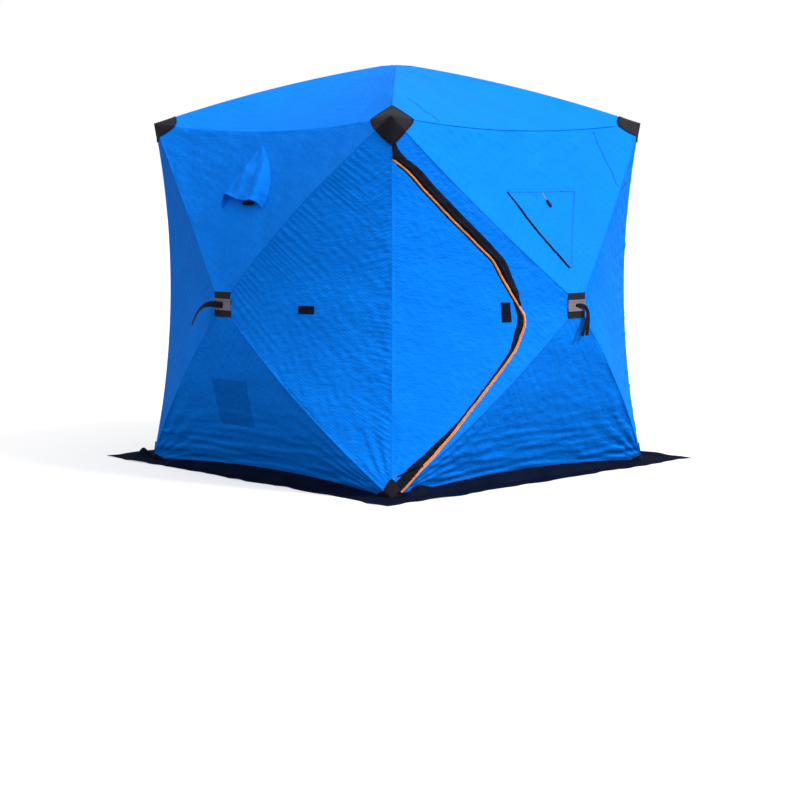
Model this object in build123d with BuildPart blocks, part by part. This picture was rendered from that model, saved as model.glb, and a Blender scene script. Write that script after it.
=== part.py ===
"""Pop-up ice fishing hut.

A square fabric tent. Each wall and the roof has a hub in its middle, pushed outwards,
and four sprung poles that run from the hub to the corners, so that each side is four
fabric panels that meet along the poles. The panels hang between the corners like
sails: their outer edges are drawn inwards, and their pole edges bow outwards.

Millimetres, +Z up. The origin is on the ground under the middle of the hut. The wall
with the door faces -Y. A wall's own coordinates are u to the right as seen from
outside, v upwards and w outwards from the middle of the hut.
"""
from build123d import *
from math import dist, hypot
import os

os.makedirs("parts", exist_ok=True)

# Overall sizes
base_width = 1800.0
top_width = 1755.0
corner_height = 1735.0
roof_height = 2025.0
hub_height = 861.0
door_wall_bulge = 331.0
side_wall_bulge = 260.0

# Fabric
fabric = 4.0
corner_edge_sag = 61.0
top_edge_sag = 52.0
hem_rise = 45.0
hem_tuck = 15.0
skirt_thickness = 3.0
facets_along_edge = 6
facets_along_pole = 4
flatness = 0.001
block_margin = 60.0

# How far each pole bows out from the straight line between its ends
door_wall_bows = {"top_left": -28.0, "top_right": 12.0, "low_left": 45.0, "low_right": 40.0}
side_wall_bows = {"top_left": -5.0, "top_right": 60.0, "low_left": 35.0, "low_right": 52.0}
roof_bow = 25.0

# Poles, hubs and the pockets that hold the poles' outer ends
pole_radius = 5.5
pole_sides = 8
pole_fabric_gap = 8.0
pole_end_gap = 48.0
plate_width = 120.0
plate_proud = 2.0
clip_height = 54.0
clip_thickness = 3.0
clip_rib_height = 9.0
clip_rib_proud = 2.0
hub_radius = 52.0
hub_depth = 30.0
hub_slot_width = 12.0
hub_slot_end = 16.0
hub_pin_radius = 3.0
hub_pin_reach = 36.0
hub_pin_seat = 2.0
pull_hole_radius = 9.0
ferrule_length = 50.0
ferrule_radius = 9.0
ferrule_overrun = 6.0
tongue_thickness = 8.0
tongue_width = 14.0
pin_clearance = 0.3
pocket_radius = 40.0
pocket_depth = 78.0
pocket_middle = 68.0
foot_pocket_reach = 85.0
foot_pocket_base = 12.0
foot_pocket_height = 60.0
foot_pocket_overlap = 40.0
foot_pocket_cut = 45.0
foot_pocket_middle = 50.0

# Black caps on the outside of the corners
cap_gap = 0.5
cap_thickness = 3.0
top_cap_on_edge = 190.0
top_cap_on_corner = 133.0
top_cap_on_wall_pole = 97.0
top_cap_on_roof_pole = 150.0
foot_cap_on_corner = 92.0
foot_cap_on_pole = 50.0
foot_cap_on_hem = 95.0

# Places on the walls below are drawn on a wall of this size, and stretch with the hut
drawn_width = 1800.0
drawn_height = 1735.0


def at(u, v):
    return (u * base_width / drawn_width, v * corner_height / drawn_height)


# Door: the zip's outline in the door wall's u and v, and the line it folds on
zip_gap = 8.5
fold_gap = 0.4
hinge_strip_width = 20.0
zip_beyond_corner = at(-1000.0, 0.0)[0]
zip_start = at(-960.0, 1612.0)
zip_shoulder = at(-800.0, 1494.0)
zip_upper_bend = at(-394.0, 1073.0)
zip_nose = at(-261.0, 804.0)
zip_lower_bend = at(-322.0, 671.0)
zip_ankle = at(-762.0, 152.0)
zip_end = at(-960.0, 52.0)
zip_start_radius = 20.0
zip_radii = [220.0, 150.0, 75.0, 110.0, 120.0]
hinge_strip_top = at(0.0, 1540.0)[1]
hinge_strip_foot = at(0.0, 92.0)[1]

# Zip and its covering bands. The bands' outer edges are the zip's outline moved to one side.
zip_line_width = 6.0
zip_line_height = 4.0
band_thickness = 3.0
upper_band_shift = (30.0, 26.0)
nose_band_shift = (-22.0, 0.0)
lower_band_shift = (-26.0, 22.0)
band_fold_gap = 25.0
band_cap_gap = 4.0
zip_line_foot = at(0.0, 95.0)[1]

# Patches, the window's flap, the vent's hood and the pocket, in their wall's u and v
patch_thickness = 2.0
door_patch = (at(-365.0, 792.0), at(-323.0, 884.0))
wall_patch = (at(434.0, 832.0), at(507.0, 870.0))
window_corners = [at(-210.0, 1391.0), at(247.0, 1395.0), at(32.0, 1030.0)]
window_radius = 14.0
window_overlap = 15.0
flap_thickness = 3.0
vent_apex = at(-41.0, 1620.0)
vent_left = at(-169.0, 1314.0)
vent_right = at(147.0, 1317.0)
vent_bend = at(125.0, 1460.0)
vent_lip_left = at(-135.0, 1384.0)
vent_lip_right = at(30.0, 1352.0)
vent_lip_rise = 50.0
vent_seam_rise = 0.3
vent_opening = [at(-35.0, 1550.0), at(-115.0, 1345.0), at(95.0, 1345.0)]
pocket_corners = [at(-205.0, 261.0), at(44.0, 259.0), at(86.0, 493.0), at(-179.0, 491.0)]

# Webbing straps that pull the hubs out, from the plate over its edge and down
strap_width = 22.0
strap_thickness = 2.0
strap_root = 14.0
strap_root_drop = 2.0
strap_sway = {"front": (34.0, 52.0), "right": (-64.0, -140.0), "back": (34.0, 52.0), "left": (-64.0, -140.0)}
strap_drop = {"front": 130.0, "right": 75.0, "back": 130.0, "left": 75.0}
strap_lean = {"front": 0.0, "right": 70.0, "back": 0.0, "left": 70.0}
strap_stand_off = 16.0

# Snow skirt: how far its outer corners stand off the hut's base corners
skirt_tips = {"front_left": (-150.0, -130.0), "front_right": (260.0, -120.0),
              "back_right": (260.0, 270.0), "back_left": (-100.0, 270.0)}
skirt_bend_share = 0.45

half_base = base_width / 2
half_top = top_width / 2
half_plate = plate_width / 2
hem_height = skirt_thickness
block_low = half_top - corner_edge_sag - block_margin
block_high = half_base + door_wall_bulge + block_margin
pole_depth = fabric + pole_fabric_gap + pole_radius


def between(start, end, share):
    """The point a share of the way from start to end."""
    return tuple(a + (b - a) * share for a, b in zip(start, end))


def raised(point, amount):
    """The point moved outwards, along its third coordinate."""
    return (point[0], point[1], point[2] + amount)


def curve_point(start, control, end, share):
    """A point on a quadratic curve."""
    return between(between(start, control, share), between(control, end, share), share)


def middle_control(pole_a, pole_b, edge, hub_edge, corners):
    """The middle control point that blends a patch evenly between its four edges."""
    return tuple((pole_a[i] + pole_b[i] + edge[i] + hub_edge[i]) / 2
                 - sum(corner[i] for corner in corners) / 4 for i in range(3))


class Side:
    """A wall or the roof: its plane, its corners, its poles and its four panels."""

    def __init__(self, plane, corners, hub_level, hub_centre, bows, edge_controls):
        self.plane = plane
        self.corners = corners
        self.hub_level = hub_level
        self.hub_centre = hub_centre
        reach = {"top_left": (-1, 1), "top_right": (1, 1), "low_left": (-1, -1), "low_right": (1, -1)}
        self.patch = {key: (reach[key][0] * half_plate, hub_centre + reach[key][1] * half_plate, hub_level)
                      for key in corners}
        self.pole_controls = {key: raised(between(corners[key], self.patch[key], 0.5), 2 * bows[key])
                              for key in corners}
        self.nets = {}
        self.ends = {"top": ("top_left", "top_right"), "bottom": ("low_right", "low_left"),
                     "left": ("low_left", "top_left"), "right": ("top_right", "low_right")}
        for name, (a, b) in self.ends.items():
            hub_edge = between(self.patch[a], self.patch[b], 0.5)
            blend = middle_control(self.pole_controls[a], self.pole_controls[b], edge_controls[name],
                                   hub_edge, (corners[a], corners[b], self.patch[a], self.patch[b]))
            self.nets[name] = [[corners[a], edge_controls[name], corners[b]],
                               [self.pole_controls[a], blend, self.pole_controls[b]],
                               [self.patch[a], hub_edge, self.patch[b]]]
        self.edge_controls = edge_controls

    def world(self, point):
        return self.plane.from_local_coords(Vector(*point))

    def panel_point(self, name, across, down):
        """A point on a panel's outer face: across its outer edge, and down from it to the hub."""
        rows = [curve_point(*row, across) for row in self.nets[name]]
        return curve_point(*rows, down)

    def facet_grid(self, name):
        """Rows of points on a panel's outer face, from its outer edge to the hub."""
        across = [step / facets_along_edge for step in range(facets_along_edge + 1)]
        down = [step / facets_along_pole for step in range(facets_along_pole + 1)]
        return [[self.panel_point(name, a, d) for a in across] for d in down]

    def pole_points(self, key, depth=0.0):
        """The fabric's line over a pole, from the corner to the hub, moved inwards by depth."""
        ends = (self.corners[key], self.pole_controls[key], self.patch[key])
        shares = [step / facets_along_pole for step in range(facets_along_pole + 1)]
        return [self.world(raised(curve_point(*ends, share), -depth)) for share in shares]


def wall_side(turn, bulge, bows):
    """A wall, turned about the hut's middle from the door wall's place."""
    x_dir = Vector(1, 0, 0).rotate(Axis.Z, turn)
    plane = Plane(origin=(0, 0, 0), x_dir=x_dir, z_dir=Vector(0, -1, 0).rotate(Axis.Z, turn))
    corners = {"top_left": (-half_top, corner_height, half_top),
               "top_right": (half_top, corner_height, half_top),
               "low_left": (-half_base, hem_height, half_base),
               "low_right": (half_base, hem_height, half_base)}
    middle = between((half_base, 0, half_base), (half_top, corner_height, half_top),
                     hub_height / corner_height)
    edge_middle = between(corners["low_right"], corners["top_right"], 0.5)
    drawn_in = edge_middle[0] - 2 * corner_edge_sag
    edges = {"top": (0, corner_height - 2 * top_edge_sag, half_top - 2 * top_edge_sag),
             "bottom": (0, hem_height + 2 * hem_rise, half_base - 2 * hem_tuck),
             "left": (-drawn_in, edge_middle[1], drawn_in),
             "right": (drawn_in, edge_middle[1], drawn_in)}
    return Side(plane, corners, middle[2] + bulge, hub_height, bows, edges)


def roof_side():
    """The roof, with its top edge towards the back wall."""
    corners = {"top_left": (-half_top, half_top, corner_height),
               "top_right": (half_top, half_top, corner_height),
               "low_left": (-half_top, -half_top, corner_height),
               "low_right": (half_top, -half_top, corner_height)}
    edge = half_top - 2 * top_edge_sag
    level = corner_height - 2 * top_edge_sag
    edges = {"top": (0, edge, level), "bottom": (0, -edge, level),
             "left": (-edge, 0, level), "right": (edge, 0, level)}
    bows = {key: roof_bow for key in corners}
    return Side(Plane.XY, corners, roof_height, 0.0, bows, edges)


walls = {"front": wall_side(0, door_wall_bulge, door_wall_bows),
         "right": wall_side(90, side_wall_bulge, side_wall_bows),
         "back": wall_side(180, door_wall_bulge, door_wall_bows),
         "left": wall_side(270, side_wall_bulge, side_wall_bows)}
roof = roof_side()


def save(name, piece):
    piece.part.label = name
    export_step(piece.part, "parts/" + name + ".step")


# Fabric panels. Neighbours meet along the poles, in the diagonal planes at the hut's
# upright edges and in the sloped planes through the top edges.

def mitre_plane(side, normal, through=(0, 0, 0)):
    """A cutting plane given in a wall's own coordinates, with the kept side along normal."""
    return Plane(origin=side.world(through), z_dir=side.world(normal))


def wall_mitres(side, name):
    cuts = []
    if name != "right":
        cuts.append(mitre_plane(side, (1, 0, 1)))
    if name != "left":
        cuts.append(mitre_plane(side, (-1, 0, 1)))
    if name != "bottom":
        cuts.append(mitre_plane(side, (0, -1, 1), (0, corner_height, half_top)))
    return cuts


def flat_face(points):
    return Face(Wire.make_polygon(points, close=True))


def grid_triangles(rows, columns):
    """Two triangles for each cell of a grid of points that is kept row by row."""
    triangles = []
    for row in range(rows - 1):
        for column in range(columns - 1):
            first = row * columns + column
            below = first + columns
            triangles += [(first, below + 1, first + 1), (first, below, below + 1)]
    return triangles


def facet_solid(low, high, triangles):
    """The closed solid between two layers of points that share the same triangles.
    The triangles run anticlockwise as seen from the high layer's side."""
    faces = [flat_face([high[i] for i in triangle]) for triangle in triangles]
    faces += [flat_face([low[i] for i in reversed(triangle)]) for triangle in triangles]
    steps = [step for a, b, c in triangles for step in ((a, b), (b, c), (c, a))]
    for a, b in steps:
        if (b, a) in steps:
            continue
        if ((high[a] - low[a]) - (high[b] - low[b])).length < flatness:
            faces.append(flat_face([low[a], low[b], high[b], high[a]]))
        else:
            faces += [flat_face([low[a], low[b], high[b]]), flat_face([low[a], high[b], high[a]])]
    return Solid(Shell(faces))


def sheet_solid(side, name, low=-fabric, high=0.0):
    """The layer of one panel between two offsets from its outer face, made of flat facets."""
    points = [point for row in side.facet_grid(name) for point in row]
    layers = [[side.world(raised(point, level)) for point in points] for level in (low, high)]
    return facet_solid(*layers, grid_triangles(facets_along_pole + 1, facets_along_edge + 1))


def panel_sheet(side, name, cuts):
    """One panel's fabric, mitred where it meets the other sides."""
    with BuildPart() as sheet:
        add(sheet_solid(side, name))
        for cut in cuts:
            split(bisect_by=cut, keep=Keep.TOP)
    return sheet.part


def prism(side, draw, inset=0.0):
    """A block through a wall, over an outline drawn in the wall's u and v."""
    with BuildPart() as block:
        with BuildSketch(side.plane.offset(block_low)):
            with BuildLine():
                draw()
            make_face()
            if inset:
                offset(amount=-inset)
        extrude(amount=block_high - block_low)
    return block.part


def polygon_prism(side, points, inset=0.0):
    return prism(side, lambda: Polyline(*points, close=True), inset)


def overlay(side, name, thickness, regions, removed=(), low=0.0):
    """A second layer on a panel, kept inside some regions and left out of others."""
    with BuildPart() as layer:
        add(sheet_solid(side, name, low, low + thickness))
        for region in regions:
            add(region, mode=Mode.INTERSECT)
        for region in removed:
            add(region, mode=Mode.SUBTRACT)
    return layer


panels = {}
for wall_name, wall in walls.items():
    for panel_name in wall.nets:
        panels[wall_name, panel_name] = panel_sheet(wall, panel_name, wall_mitres(wall, panel_name))
roof_over = {"top": "back", "bottom": "front", "left": "left", "right": "right"}
for panel_name, wall_name in roof_over.items():
    cut = mitre_plane(walls[wall_name], (0, 1, -1), (0, corner_height, half_top))
    panels["roof", panel_name] = panel_sheet(roof, panel_name, [cut])


# The door: a flap in the door wall's left panel, inside the zip's outline

def zip_region(inset, upper_shift=(0, 0), nose_shift=(0, 0), lower_shift=(0, 0)):
    """The space inside the zip's outline, made smaller all round by inset."""
    upper = [(u + upper_shift[0], v + upper_shift[1]) for u, v in (zip_start, zip_shoulder, zip_upper_bend)]
    nose = (zip_nose[0] + nose_shift[0], zip_nose[1] + nose_shift[1])
    lower = [(u + lower_shift[0], v + lower_shift[1]) for u, v in (zip_lower_bend, zip_ankle, zip_end)]
    top = (zip_beyond_corner, upper[0][1])
    foot = (zip_beyond_corner, lower[-1][1])

    def outline():
        FilletPolyline(top, *upper, nose, *lower, radius=[zip_start_radius] + zip_radii)
        Polyline(top, foot, lower[-1])

    return prism(walls["front"], outline, inset)


def hinge_region(shift):
    """The space to the door's side of its fold, moved towards the hub by shift."""
    front = walls["front"]
    strip = hinge_strip_width + shift
    low = front.corners["low_left"]
    high = front.corners["top_left"]
    control = front.edge_controls["left"]

    def outline():
        Bezier((low[0] + strip, low[1]), (control[0] + strip, control[1]), (high[0] + strip, high[1]))
        Polyline((high[0] + strip, high[1]), (0, high[1]), (0, low[1]), (low[0] + strip, low[1]))

    return prism(front, outline)


door_panel = panels.pop(("front", "left"))
with BuildPart() as door_flap:
    add(door_panel)
    add(zip_region(zip_gap / 2), mode=Mode.INTERSECT)
    add(hinge_region(fold_gap), mode=Mode.INTERSECT)
with BuildPart() as door_opening:
    add(zip_region(-zip_gap / 2))
    add(hinge_region(0), mode=Mode.INTERSECT)
with BuildPart() as door_edge_strip:
    add(door_panel)
    add(hinge_region(0), mode=Mode.SUBTRACT)
    split(bisect_by=Plane.XY.offset(hinge_strip_foot), keep=Keep.TOP)
    split(bisect_by=Plane.XY.offset(hinge_strip_top), keep=Keep.BOTTOM)
with BuildPart() as door_surround:
    add(door_panel)
    add(door_opening.part, mode=Mode.SUBTRACT)
    add(door_edge_strip.part, mode=Mode.SUBTRACT)
with BuildPart() as door_upper_margin:
    add(door_surround.part)
    split(bisect_by=Plane.XY.offset(hub_height), keep=Keep.TOP)
with BuildPart() as door_lower_margin:
    add(door_surround.part)
    split(bisect_by=Plane.XY.offset(hub_height), keep=Keep.BOTTOM)
save("door_flap", door_flap)
save("door_edge_strip", door_edge_strip)
save("door_upper_margin", door_upper_margin)
save("door_lower_margin", door_lower_margin)


# The zip runs on the hut's side of the gap. Above the nose its band lies on the hut, and
# below the nose its band lies on the door.

front = walls["front"]
zip_edge = zip_gap / 2
zip_outer_edge = zip_edge + zip_line_width
zip_line = overlay(front, "left", zip_line_height, [zip_region(-zip_outer_edge)], [zip_region(-zip_edge)])
with zip_line:
    split(bisect_by=Plane.XY.offset(zip_line_foot), keep=Keep.TOP)
upper_zip_band = overlay(front, "left", band_thickness, [zip_region(-zip_outer_edge, upper_band_shift)],
                         [zip_region(-zip_outer_edge)])
with upper_zip_band:
    split(bisect_by=Plane.XY.offset(zip_nose[1]), keep=Keep.TOP)
    split(bisect_by=Plane.XY.offset(corner_height - top_cap_on_corner - band_cap_gap), keep=Keep.BOTTOM)
lower_zip_band = overlay(front, "left", band_thickness, [zip_region(zip_edge), hinge_region(band_fold_gap)],
                         [zip_region(zip_edge, (0, 0), nose_band_shift, lower_band_shift)])
save("zip_line", zip_line)
save("upper_zip_band", upper_zip_band)
save("lower_zip_band", lower_zip_band)


# Hook-and-loop patches that hold the rolled door

def patch(side, name, corners):
    (left, foot), (right, top) = corners
    block = polygon_prism(side, [(left, foot), (right, foot), (right, top), (left, top)])
    return overlay(side, name, patch_thickness, [block])


save("door_velcro_patch", patch(front, "left", door_patch))
save("wall_velcro_patch", patch(walls["left"], "right", wall_patch))


# Window: a three-cornered opening, closed by a flap that overlaps it all round

def window_region(inset):
    def outline():
        FilletPolyline(*window_corners, close=True, radius=window_radius)

    return prism(front, outline, inset)


save("window_flap", overlay(front, "top", flap_thickness, [window_region(0)]))
with BuildPart() as front_top_panel:
    add(panels["front", "top"])
    add(window_region(window_overlap), mode=Mode.SUBTRACT)
panels["front", "top"] = front_top_panel.part


# Vent: an opening under a hood that is sewn to the panel at its sides and stands off it
# at its lower lip

def panel_level(side, name, u, v):
    """How far out a panel's outer face is at a place in the wall's u and v."""
    points = [point for row in side.facet_grid(name) for point in row]
    for triangle in grid_triangles(facets_along_pole + 1, facets_along_edge + 1):
        a, b, c = (points[i] for i in triangle)
        area = (b[0] - a[0]) * (c[1] - a[1]) - (b[1] - a[1]) * (c[0] - a[0])
        to_b = ((u - a[0]) * (c[1] - a[1]) - (v - a[1]) * (c[0] - a[0])) / area
        to_c = ((b[0] - a[0]) * (v - a[1]) - (b[1] - a[1]) * (u - a[0])) / area
        if min(to_b, to_c, 1 - to_b - to_c) >= 0:
            return a[2] + to_b * (b[2] - a[2]) + to_c * (c[2] - a[2])


def above_panel(side, name, place, rise):
    return (*place, panel_level(side, name, *place) + rise)


def thickened(points, triangles, thickness):
    """The points moved off their facets, each along the mean of the facets' directions."""
    outer = []
    for i, point in enumerate(points):
        ways = [(points[b] - points[a]).cross(points[c] - points[a]).normalized()
                for a, b, c in triangles if i in (a, b, c)]
        outer.append(point + sum(ways, Vector()).normalized() * thickness)
    return outer


left_wall = walls["left"]
seam = [above_panel(left_wall, "top", place, vent_seam_rise)
        for place in (vent_apex, vent_left, vent_right, vent_bend)]
lip = [above_panel(left_wall, "top", place, vent_lip_rise) for place in (vent_lip_left, vent_lip_right)]
hood_inside = [left_wall.world(point) for point in seam + lip]
apex, low_left, low_right, bend, lip_left, lip_right = range(len(hood_inside))
hood_triangles = [(apex, low_left, lip_left), (apex, lip_left, lip_right), (apex, lip_right, bend),
                  (bend, lip_right, low_right)]
hood_outside = thickened(hood_inside, hood_triangles, flap_thickness)
with BuildPart() as vent_hood:
    add(facet_solid(hood_inside, hood_outside, hood_triangles))
    add(sheet_solid(left_wall, "top"), mode=Mode.SUBTRACT)
    add(vent_hood.part.solids().sort_by(SortBy.VOLUME)[-1], mode=Mode.REPLACE)
with BuildPart() as left_top_panel:
    add(panels["left", "top"])
    add(polygon_prism(left_wall, vent_opening), mode=Mode.SUBTRACT)
panels["left", "top"] = left_top_panel.part
save("vent_hood", vent_hood)

# Pocket on the inside of the wall
save("storage_pocket", overlay(left_wall, "bottom", flap_thickness,
                               [polygon_prism(left_wall, pocket_corners)], low=-fabric - flap_thickness))

for (side_name, panel_name), solid in panels.items():
    with BuildPart() as panel:
        add(solid)
    place_names = {"bottom": "front", "top": "back"} if side_name == "roof" else {}
    save(side_name + "_" + place_names.get(panel_name, panel_name) + "_panel", panel)


# Poles, seated in the hubs' ferrules and in the corner pockets

def pole_route(side, key):
    """The pole's centre line, from its end in the corner pocket to its end at the hub."""
    points = side.pole_points(key, pole_depth)
    points[0] += (points[1] - points[0]).normalized() * pole_end_gap
    points[-1] += (points[-2] - points[-1]).normalized() * (ferrule_length - ferrule_overrun)
    return points


def pole_rod(side, key):
    points = pole_route(side, key)
    with BuildPart() as rod:
        with BuildLine() as path:
            Polyline(*points)
        with BuildSketch(Plane(origin=points[0], z_dir=points[1] - points[0])):
            RegularPolygon(pole_radius, pole_sides)
        sweep(path=path.wires()[0], transition=Transition.RIGHT)
    return rod.part


rods = {}
for side_name, side in list(walls.items()) + [("roof", roof)]:
    for key in side.corners:
        rods[side_name, key] = pole_rod(side, key)
with BuildPart() as wall_poles:
    for (side_name, key), rod in rods.items():
        if side_name != "roof":
            add(rod)
with BuildPart() as roof_poles:
    for (side_name, key), rod in rods.items():
        if side_name == "roof":
            add(rod)
save("wall_poles", wall_poles)
save("roof_poles", roof_poles)


# Hubs: a slotted disc behind each plate, with a pin across each slot. A ferrule with a
# flat tongue turns on each pin and holds the inner end of a pole.

def face_plane(side, level):
    """A plane over a side's hub, at a level along its outward direction."""
    return Plane(origin=side.world((0, side.hub_centre, level)), x_dir=side.plane.x_dir,
                 z_dir=side.plane.z_dir)


def arm_direction(side, key):
    """Unit direction of a slot, from the hub's middle to the plate's corner, in u and v."""
    u = side.patch[key][0]
    v = side.patch[key][1] - side.hub_centre
    return u / hypot(u, v), v / hypot(u, v)


def hub_body(side):
    face_level = side.hub_level - fabric
    pin_level = side.hub_level - pole_depth
    plane = face_plane(side, 0)
    slot_length = hub_radius - hub_slot_end + hub_slot_width
    with BuildPart() as hub:
        with BuildSketch(plane.offset(face_level)):
            Circle(hub_radius)
        extrude(amount=-hub_depth)
        for key in side.corners:
            u, v = arm_direction(side, key)
            arm = Plane(origin=plane.origin, x_dir=plane.from_local_coords(Vector(u, v, 0)) - plane.origin,
                        z_dir=plane.z_dir)
            with BuildSketch(arm.offset(face_level)):
                with Locations((hub_slot_end + slot_length / 2, 0)):
                    Rectangle(slot_length, hub_slot_width)
            extrude(amount=-hub_depth, mode=Mode.SUBTRACT)
            pin_start = Vector(hub_pin_reach, -hub_slot_width / 2 - hub_pin_seat, pin_level)
            with BuildSketch(Plane(origin=arm.from_local_coords(pin_start), z_dir=arm.y_dir)):
                RegularPolygon(hub_pin_radius, pole_sides)
            extrude(amount=hub_slot_width + 2 * hub_pin_seat)
        with BuildSketch(plane.offset(face_level)):
            Circle(pull_hole_radius)
        extrude(amount=-hub_depth, mode=Mode.SUBTRACT)
    return hub.part


def ferrule(side, key):
    points = pole_route(side, key)
    end = points[-1]
    along = (points[-2] - end).normalized()
    u, v = arm_direction(side, key)
    pin = side.world((u * hub_pin_reach, side.hub_centre + v * hub_pin_reach, side.hub_level - pole_depth))
    arm_along = side.plane.from_local_coords(Vector(u, v, 0))
    across = side.plane.z_dir.cross(arm_along)
    tube_end = end - along * ferrule_length
    socket = Plane(origin=tube_end, z_dir=along)
    tongue = Plane(origin=pin - across * (tongue_thickness / 2), x_dir=arm_along, z_dir=across)
    reach = tongue.to_local_coords(tube_end)
    half_width = tongue_width / 2
    with BuildPart() as piece:
        with BuildSketch(socket):
            RegularPolygon(ferrule_radius, pole_sides)
        extrude(amount=ferrule_length)
        with BuildSketch(tongue):
            with BuildLine():
                Polyline((0, -half_width), (reach.X, reach.Y - half_width), (reach.X, reach.Y + half_width),
                         (0, half_width), close=True)
            make_face()
            RegularPolygon(half_width, pole_sides)
        extrude(amount=tongue_thickness)
        with BuildSketch(tongue):
            RegularPolygon(hub_pin_radius + pin_clearance, pole_sides)
        extrude(amount=tongue_thickness, mode=Mode.SUBTRACT)
    return piece.part


with BuildPart() as wall_hubs:
    for wall in walls.values():
        add(hub_body(wall))
with BuildPart() as roof_hub:
    add(hub_body(roof))
with BuildPart() as pole_ferrules:
    for side in list(walls.values()) + [roof]:
        for key in side.corners:
            add(ferrule(side, key))
save("wall_hubs", wall_hubs)
save("roof_hub", roof_hub)
save("pole_ferrules", pole_ferrules)


# Outer plates: a patch closes the fabric over each hub, and a ribbed clip lies across it

def hub_plate(side):
    with BuildPart() as plate:
        with BuildSketch(face_plane(side, side.hub_level - fabric)):
            Rectangle(plate_width, plate_width)
            Circle(pull_hole_radius, mode=Mode.SUBTRACT)
        extrude(amount=fabric + plate_proud)
    return plate.part


def hub_clip(side):
    with BuildPart() as clip:
        with BuildSketch(face_plane(side, side.hub_level + plate_proud)):
            Rectangle(plate_width, clip_height)
            Circle(pull_hole_radius, mode=Mode.SUBTRACT)
        extrude(amount=clip_thickness)
        with BuildSketch(face_plane(side, side.hub_level + plate_proud + clip_thickness)):
            with GridLocations(0, clip_height - clip_rib_height, 1, 2):
                Rectangle(plate_width, clip_rib_height)
        extrude(amount=clip_rib_proud)
    return clip.part


with BuildPart() as hub_plates:
    for side in list(walls.values()) + [roof]:
        add(hub_plate(side))
with BuildPart() as hub_clips:
    for wall in walls.values():
        add(hub_clip(wall))
save("hub_plates", hub_plates)
save("hub_clips", hub_clips)


def pull_strap(wall_name):
    """Webbing that comes out at the hub's hole, crosses the clip and hangs over its edge."""
    side = walls[wall_name]
    knee, tip = strap_sway[wall_name]
    face = side.hub_level + plate_proud + clip_thickness
    over = face + clip_rib_proud
    drop = strap_drop[wall_name]
    lean = strap_lean[wall_name]
    hand = 1 if knee > 0 else -1
    route = [(hand * strap_root, side.hub_centre - strap_root_drop, face),
             (knee, side.hub_centre - clip_height / 2 + clip_rib_height, over + strap_stand_off + lean / 2),
             ((knee + tip) / 2, side.hub_centre - clip_height / 2 - drop / 4, over + strap_stand_off + lean),
             (tip, side.hub_centre - clip_height / 2 - drop, over + lean)]
    left_edge = []
    right_edge = []
    for i, point in enumerate(route):
        before = route[max(i - 1, 0)]
        after = route[min(i + 1, len(route) - 1)]
        along = (after[0] - before[0], after[1] - before[1])
        half = strap_width / 2 / hypot(*along)
        aside = (along[1] * half, -along[0] * half)
        left_edge.append((point[0] - aside[0], point[1] - aside[1], point[2]))
        right_edge.append((point[0] + aside[0], point[1] + aside[1], point[2]))
    layers = [[side.world(raised(point, level)) for point in left_edge + right_edge]
              for level in (0, strap_thickness)]
    with BuildPart() as strap:
        add(facet_solid(*layers, grid_triangles(2, len(route))))
    return strap.part


with BuildPart() as pull_straps:
    for wall_name in walls:
        add(pull_strap(wall_name))
save("pull_straps", pull_straps)


# Snow skirt: a flap round the hem that drops to the ground and lies flat on it

corner_signs = {"front_left": (-1, -1), "front_right": (1, -1), "back_right": (1, 1), "back_left": (-1, 1)}
wall_ends = {"front": ("front_left", "front_right"), "right": ("front_right", "back_right"),
             "back": ("back_right", "back_left"), "left": ("back_left", "front_left")}


def skirt_corner(name, share):
    """A point on the ground along the line from a base corner to the skirt's tip."""
    sign_x, sign_y = corner_signs[name]
    tip_x, tip_y = skirt_tips[name]
    return Vector(sign_x * half_base + share * tip_x, sign_y * half_base + share * tip_y, skirt_thickness)


def skirt(wall_name):
    """Under the hem, down to the bend, and flat to the tips, as a strip of flat facets."""
    side = walls[wall_name]
    start, end = wall_ends[wall_name]
    hem = (side.corners["low_left"], side.edge_controls["bottom"], side.corners["low_right"])
    shares = [step / facets_along_edge for step in range(facets_along_edge + 1)]
    edge = [side.world(curve_point(*hem, share)) for share in shares]
    inwards = side.plane.z_dir * -fabric
    inner = [point + inwards for point in edge]
    start_bend, end_bend = (skirt_corner(name, skirt_bend_share) for name in (start, end))
    bend = [start_bend * (1 - share) + end_bend * share for share in shares]
    tips = [skirt_corner(start, 1.0), skirt_corner(end, 1.0)]
    drop = Vector(0, 0, -skirt_thickness)
    with BuildPart() as strip:
        for near, far in ((inner, edge), (edge, bend)):
            points = near + far
            add(facet_solid([point + drop for point in points], points,
                            grid_triangles(2, facets_along_edge + 1)))
            if near is inner:
                split(bisect_by=mitre_plane(side, (1, 0, 1)), keep=Keep.TOP)
                split(bisect_by=mitre_plane(side, (-1, 0, 1)), keep=Keep.TOP)
        with BuildSketch(Plane.XY):
            with BuildLine():
                Polyline(*[(p.X, p.Y) for p in (bend[0], bend[-1], tips[1], tips[0])], close=True)
            make_face()
        extrude(amount=skirt_thickness)
    return strip


skirts = {}
for wall_name in walls:
    skirts[wall_name] = skirt(wall_name)
    save(wall_name + "_skirt", skirts[wall_name])


# Pockets that hold the outer ends of the poles, sewn into the corners

corner_sides = {"front_left": (("front", "left"), ("left", "right")),
                "front_right": (("right", "left"), ("front", "right")),
                "back_right": (("back", "left"), ("right", "right")),
                "back_left": (("left", "left"), ("back", "right"))}


top_keys = {"left": "top_left", "right": "top_right"}
foot_keys = {"left": "low_left", "right": "low_right"}
roof_keys = {"front_left": "low_left", "front_right": "low_right",
             "back_right": "top_right", "back_left": "top_left"}


def kept_inside(block, cutters, inside_point):
    """The piece of block that holds inside_point once the cutters are taken away."""
    with BuildPart() as cut:
        add(block)
        for cutter in cutters:
            add(cutter, mode=Mode.SUBTRACT)
    pieces = cut.part.solids().sort_by_distance(inside_point)
    return pieces[0]


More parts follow.
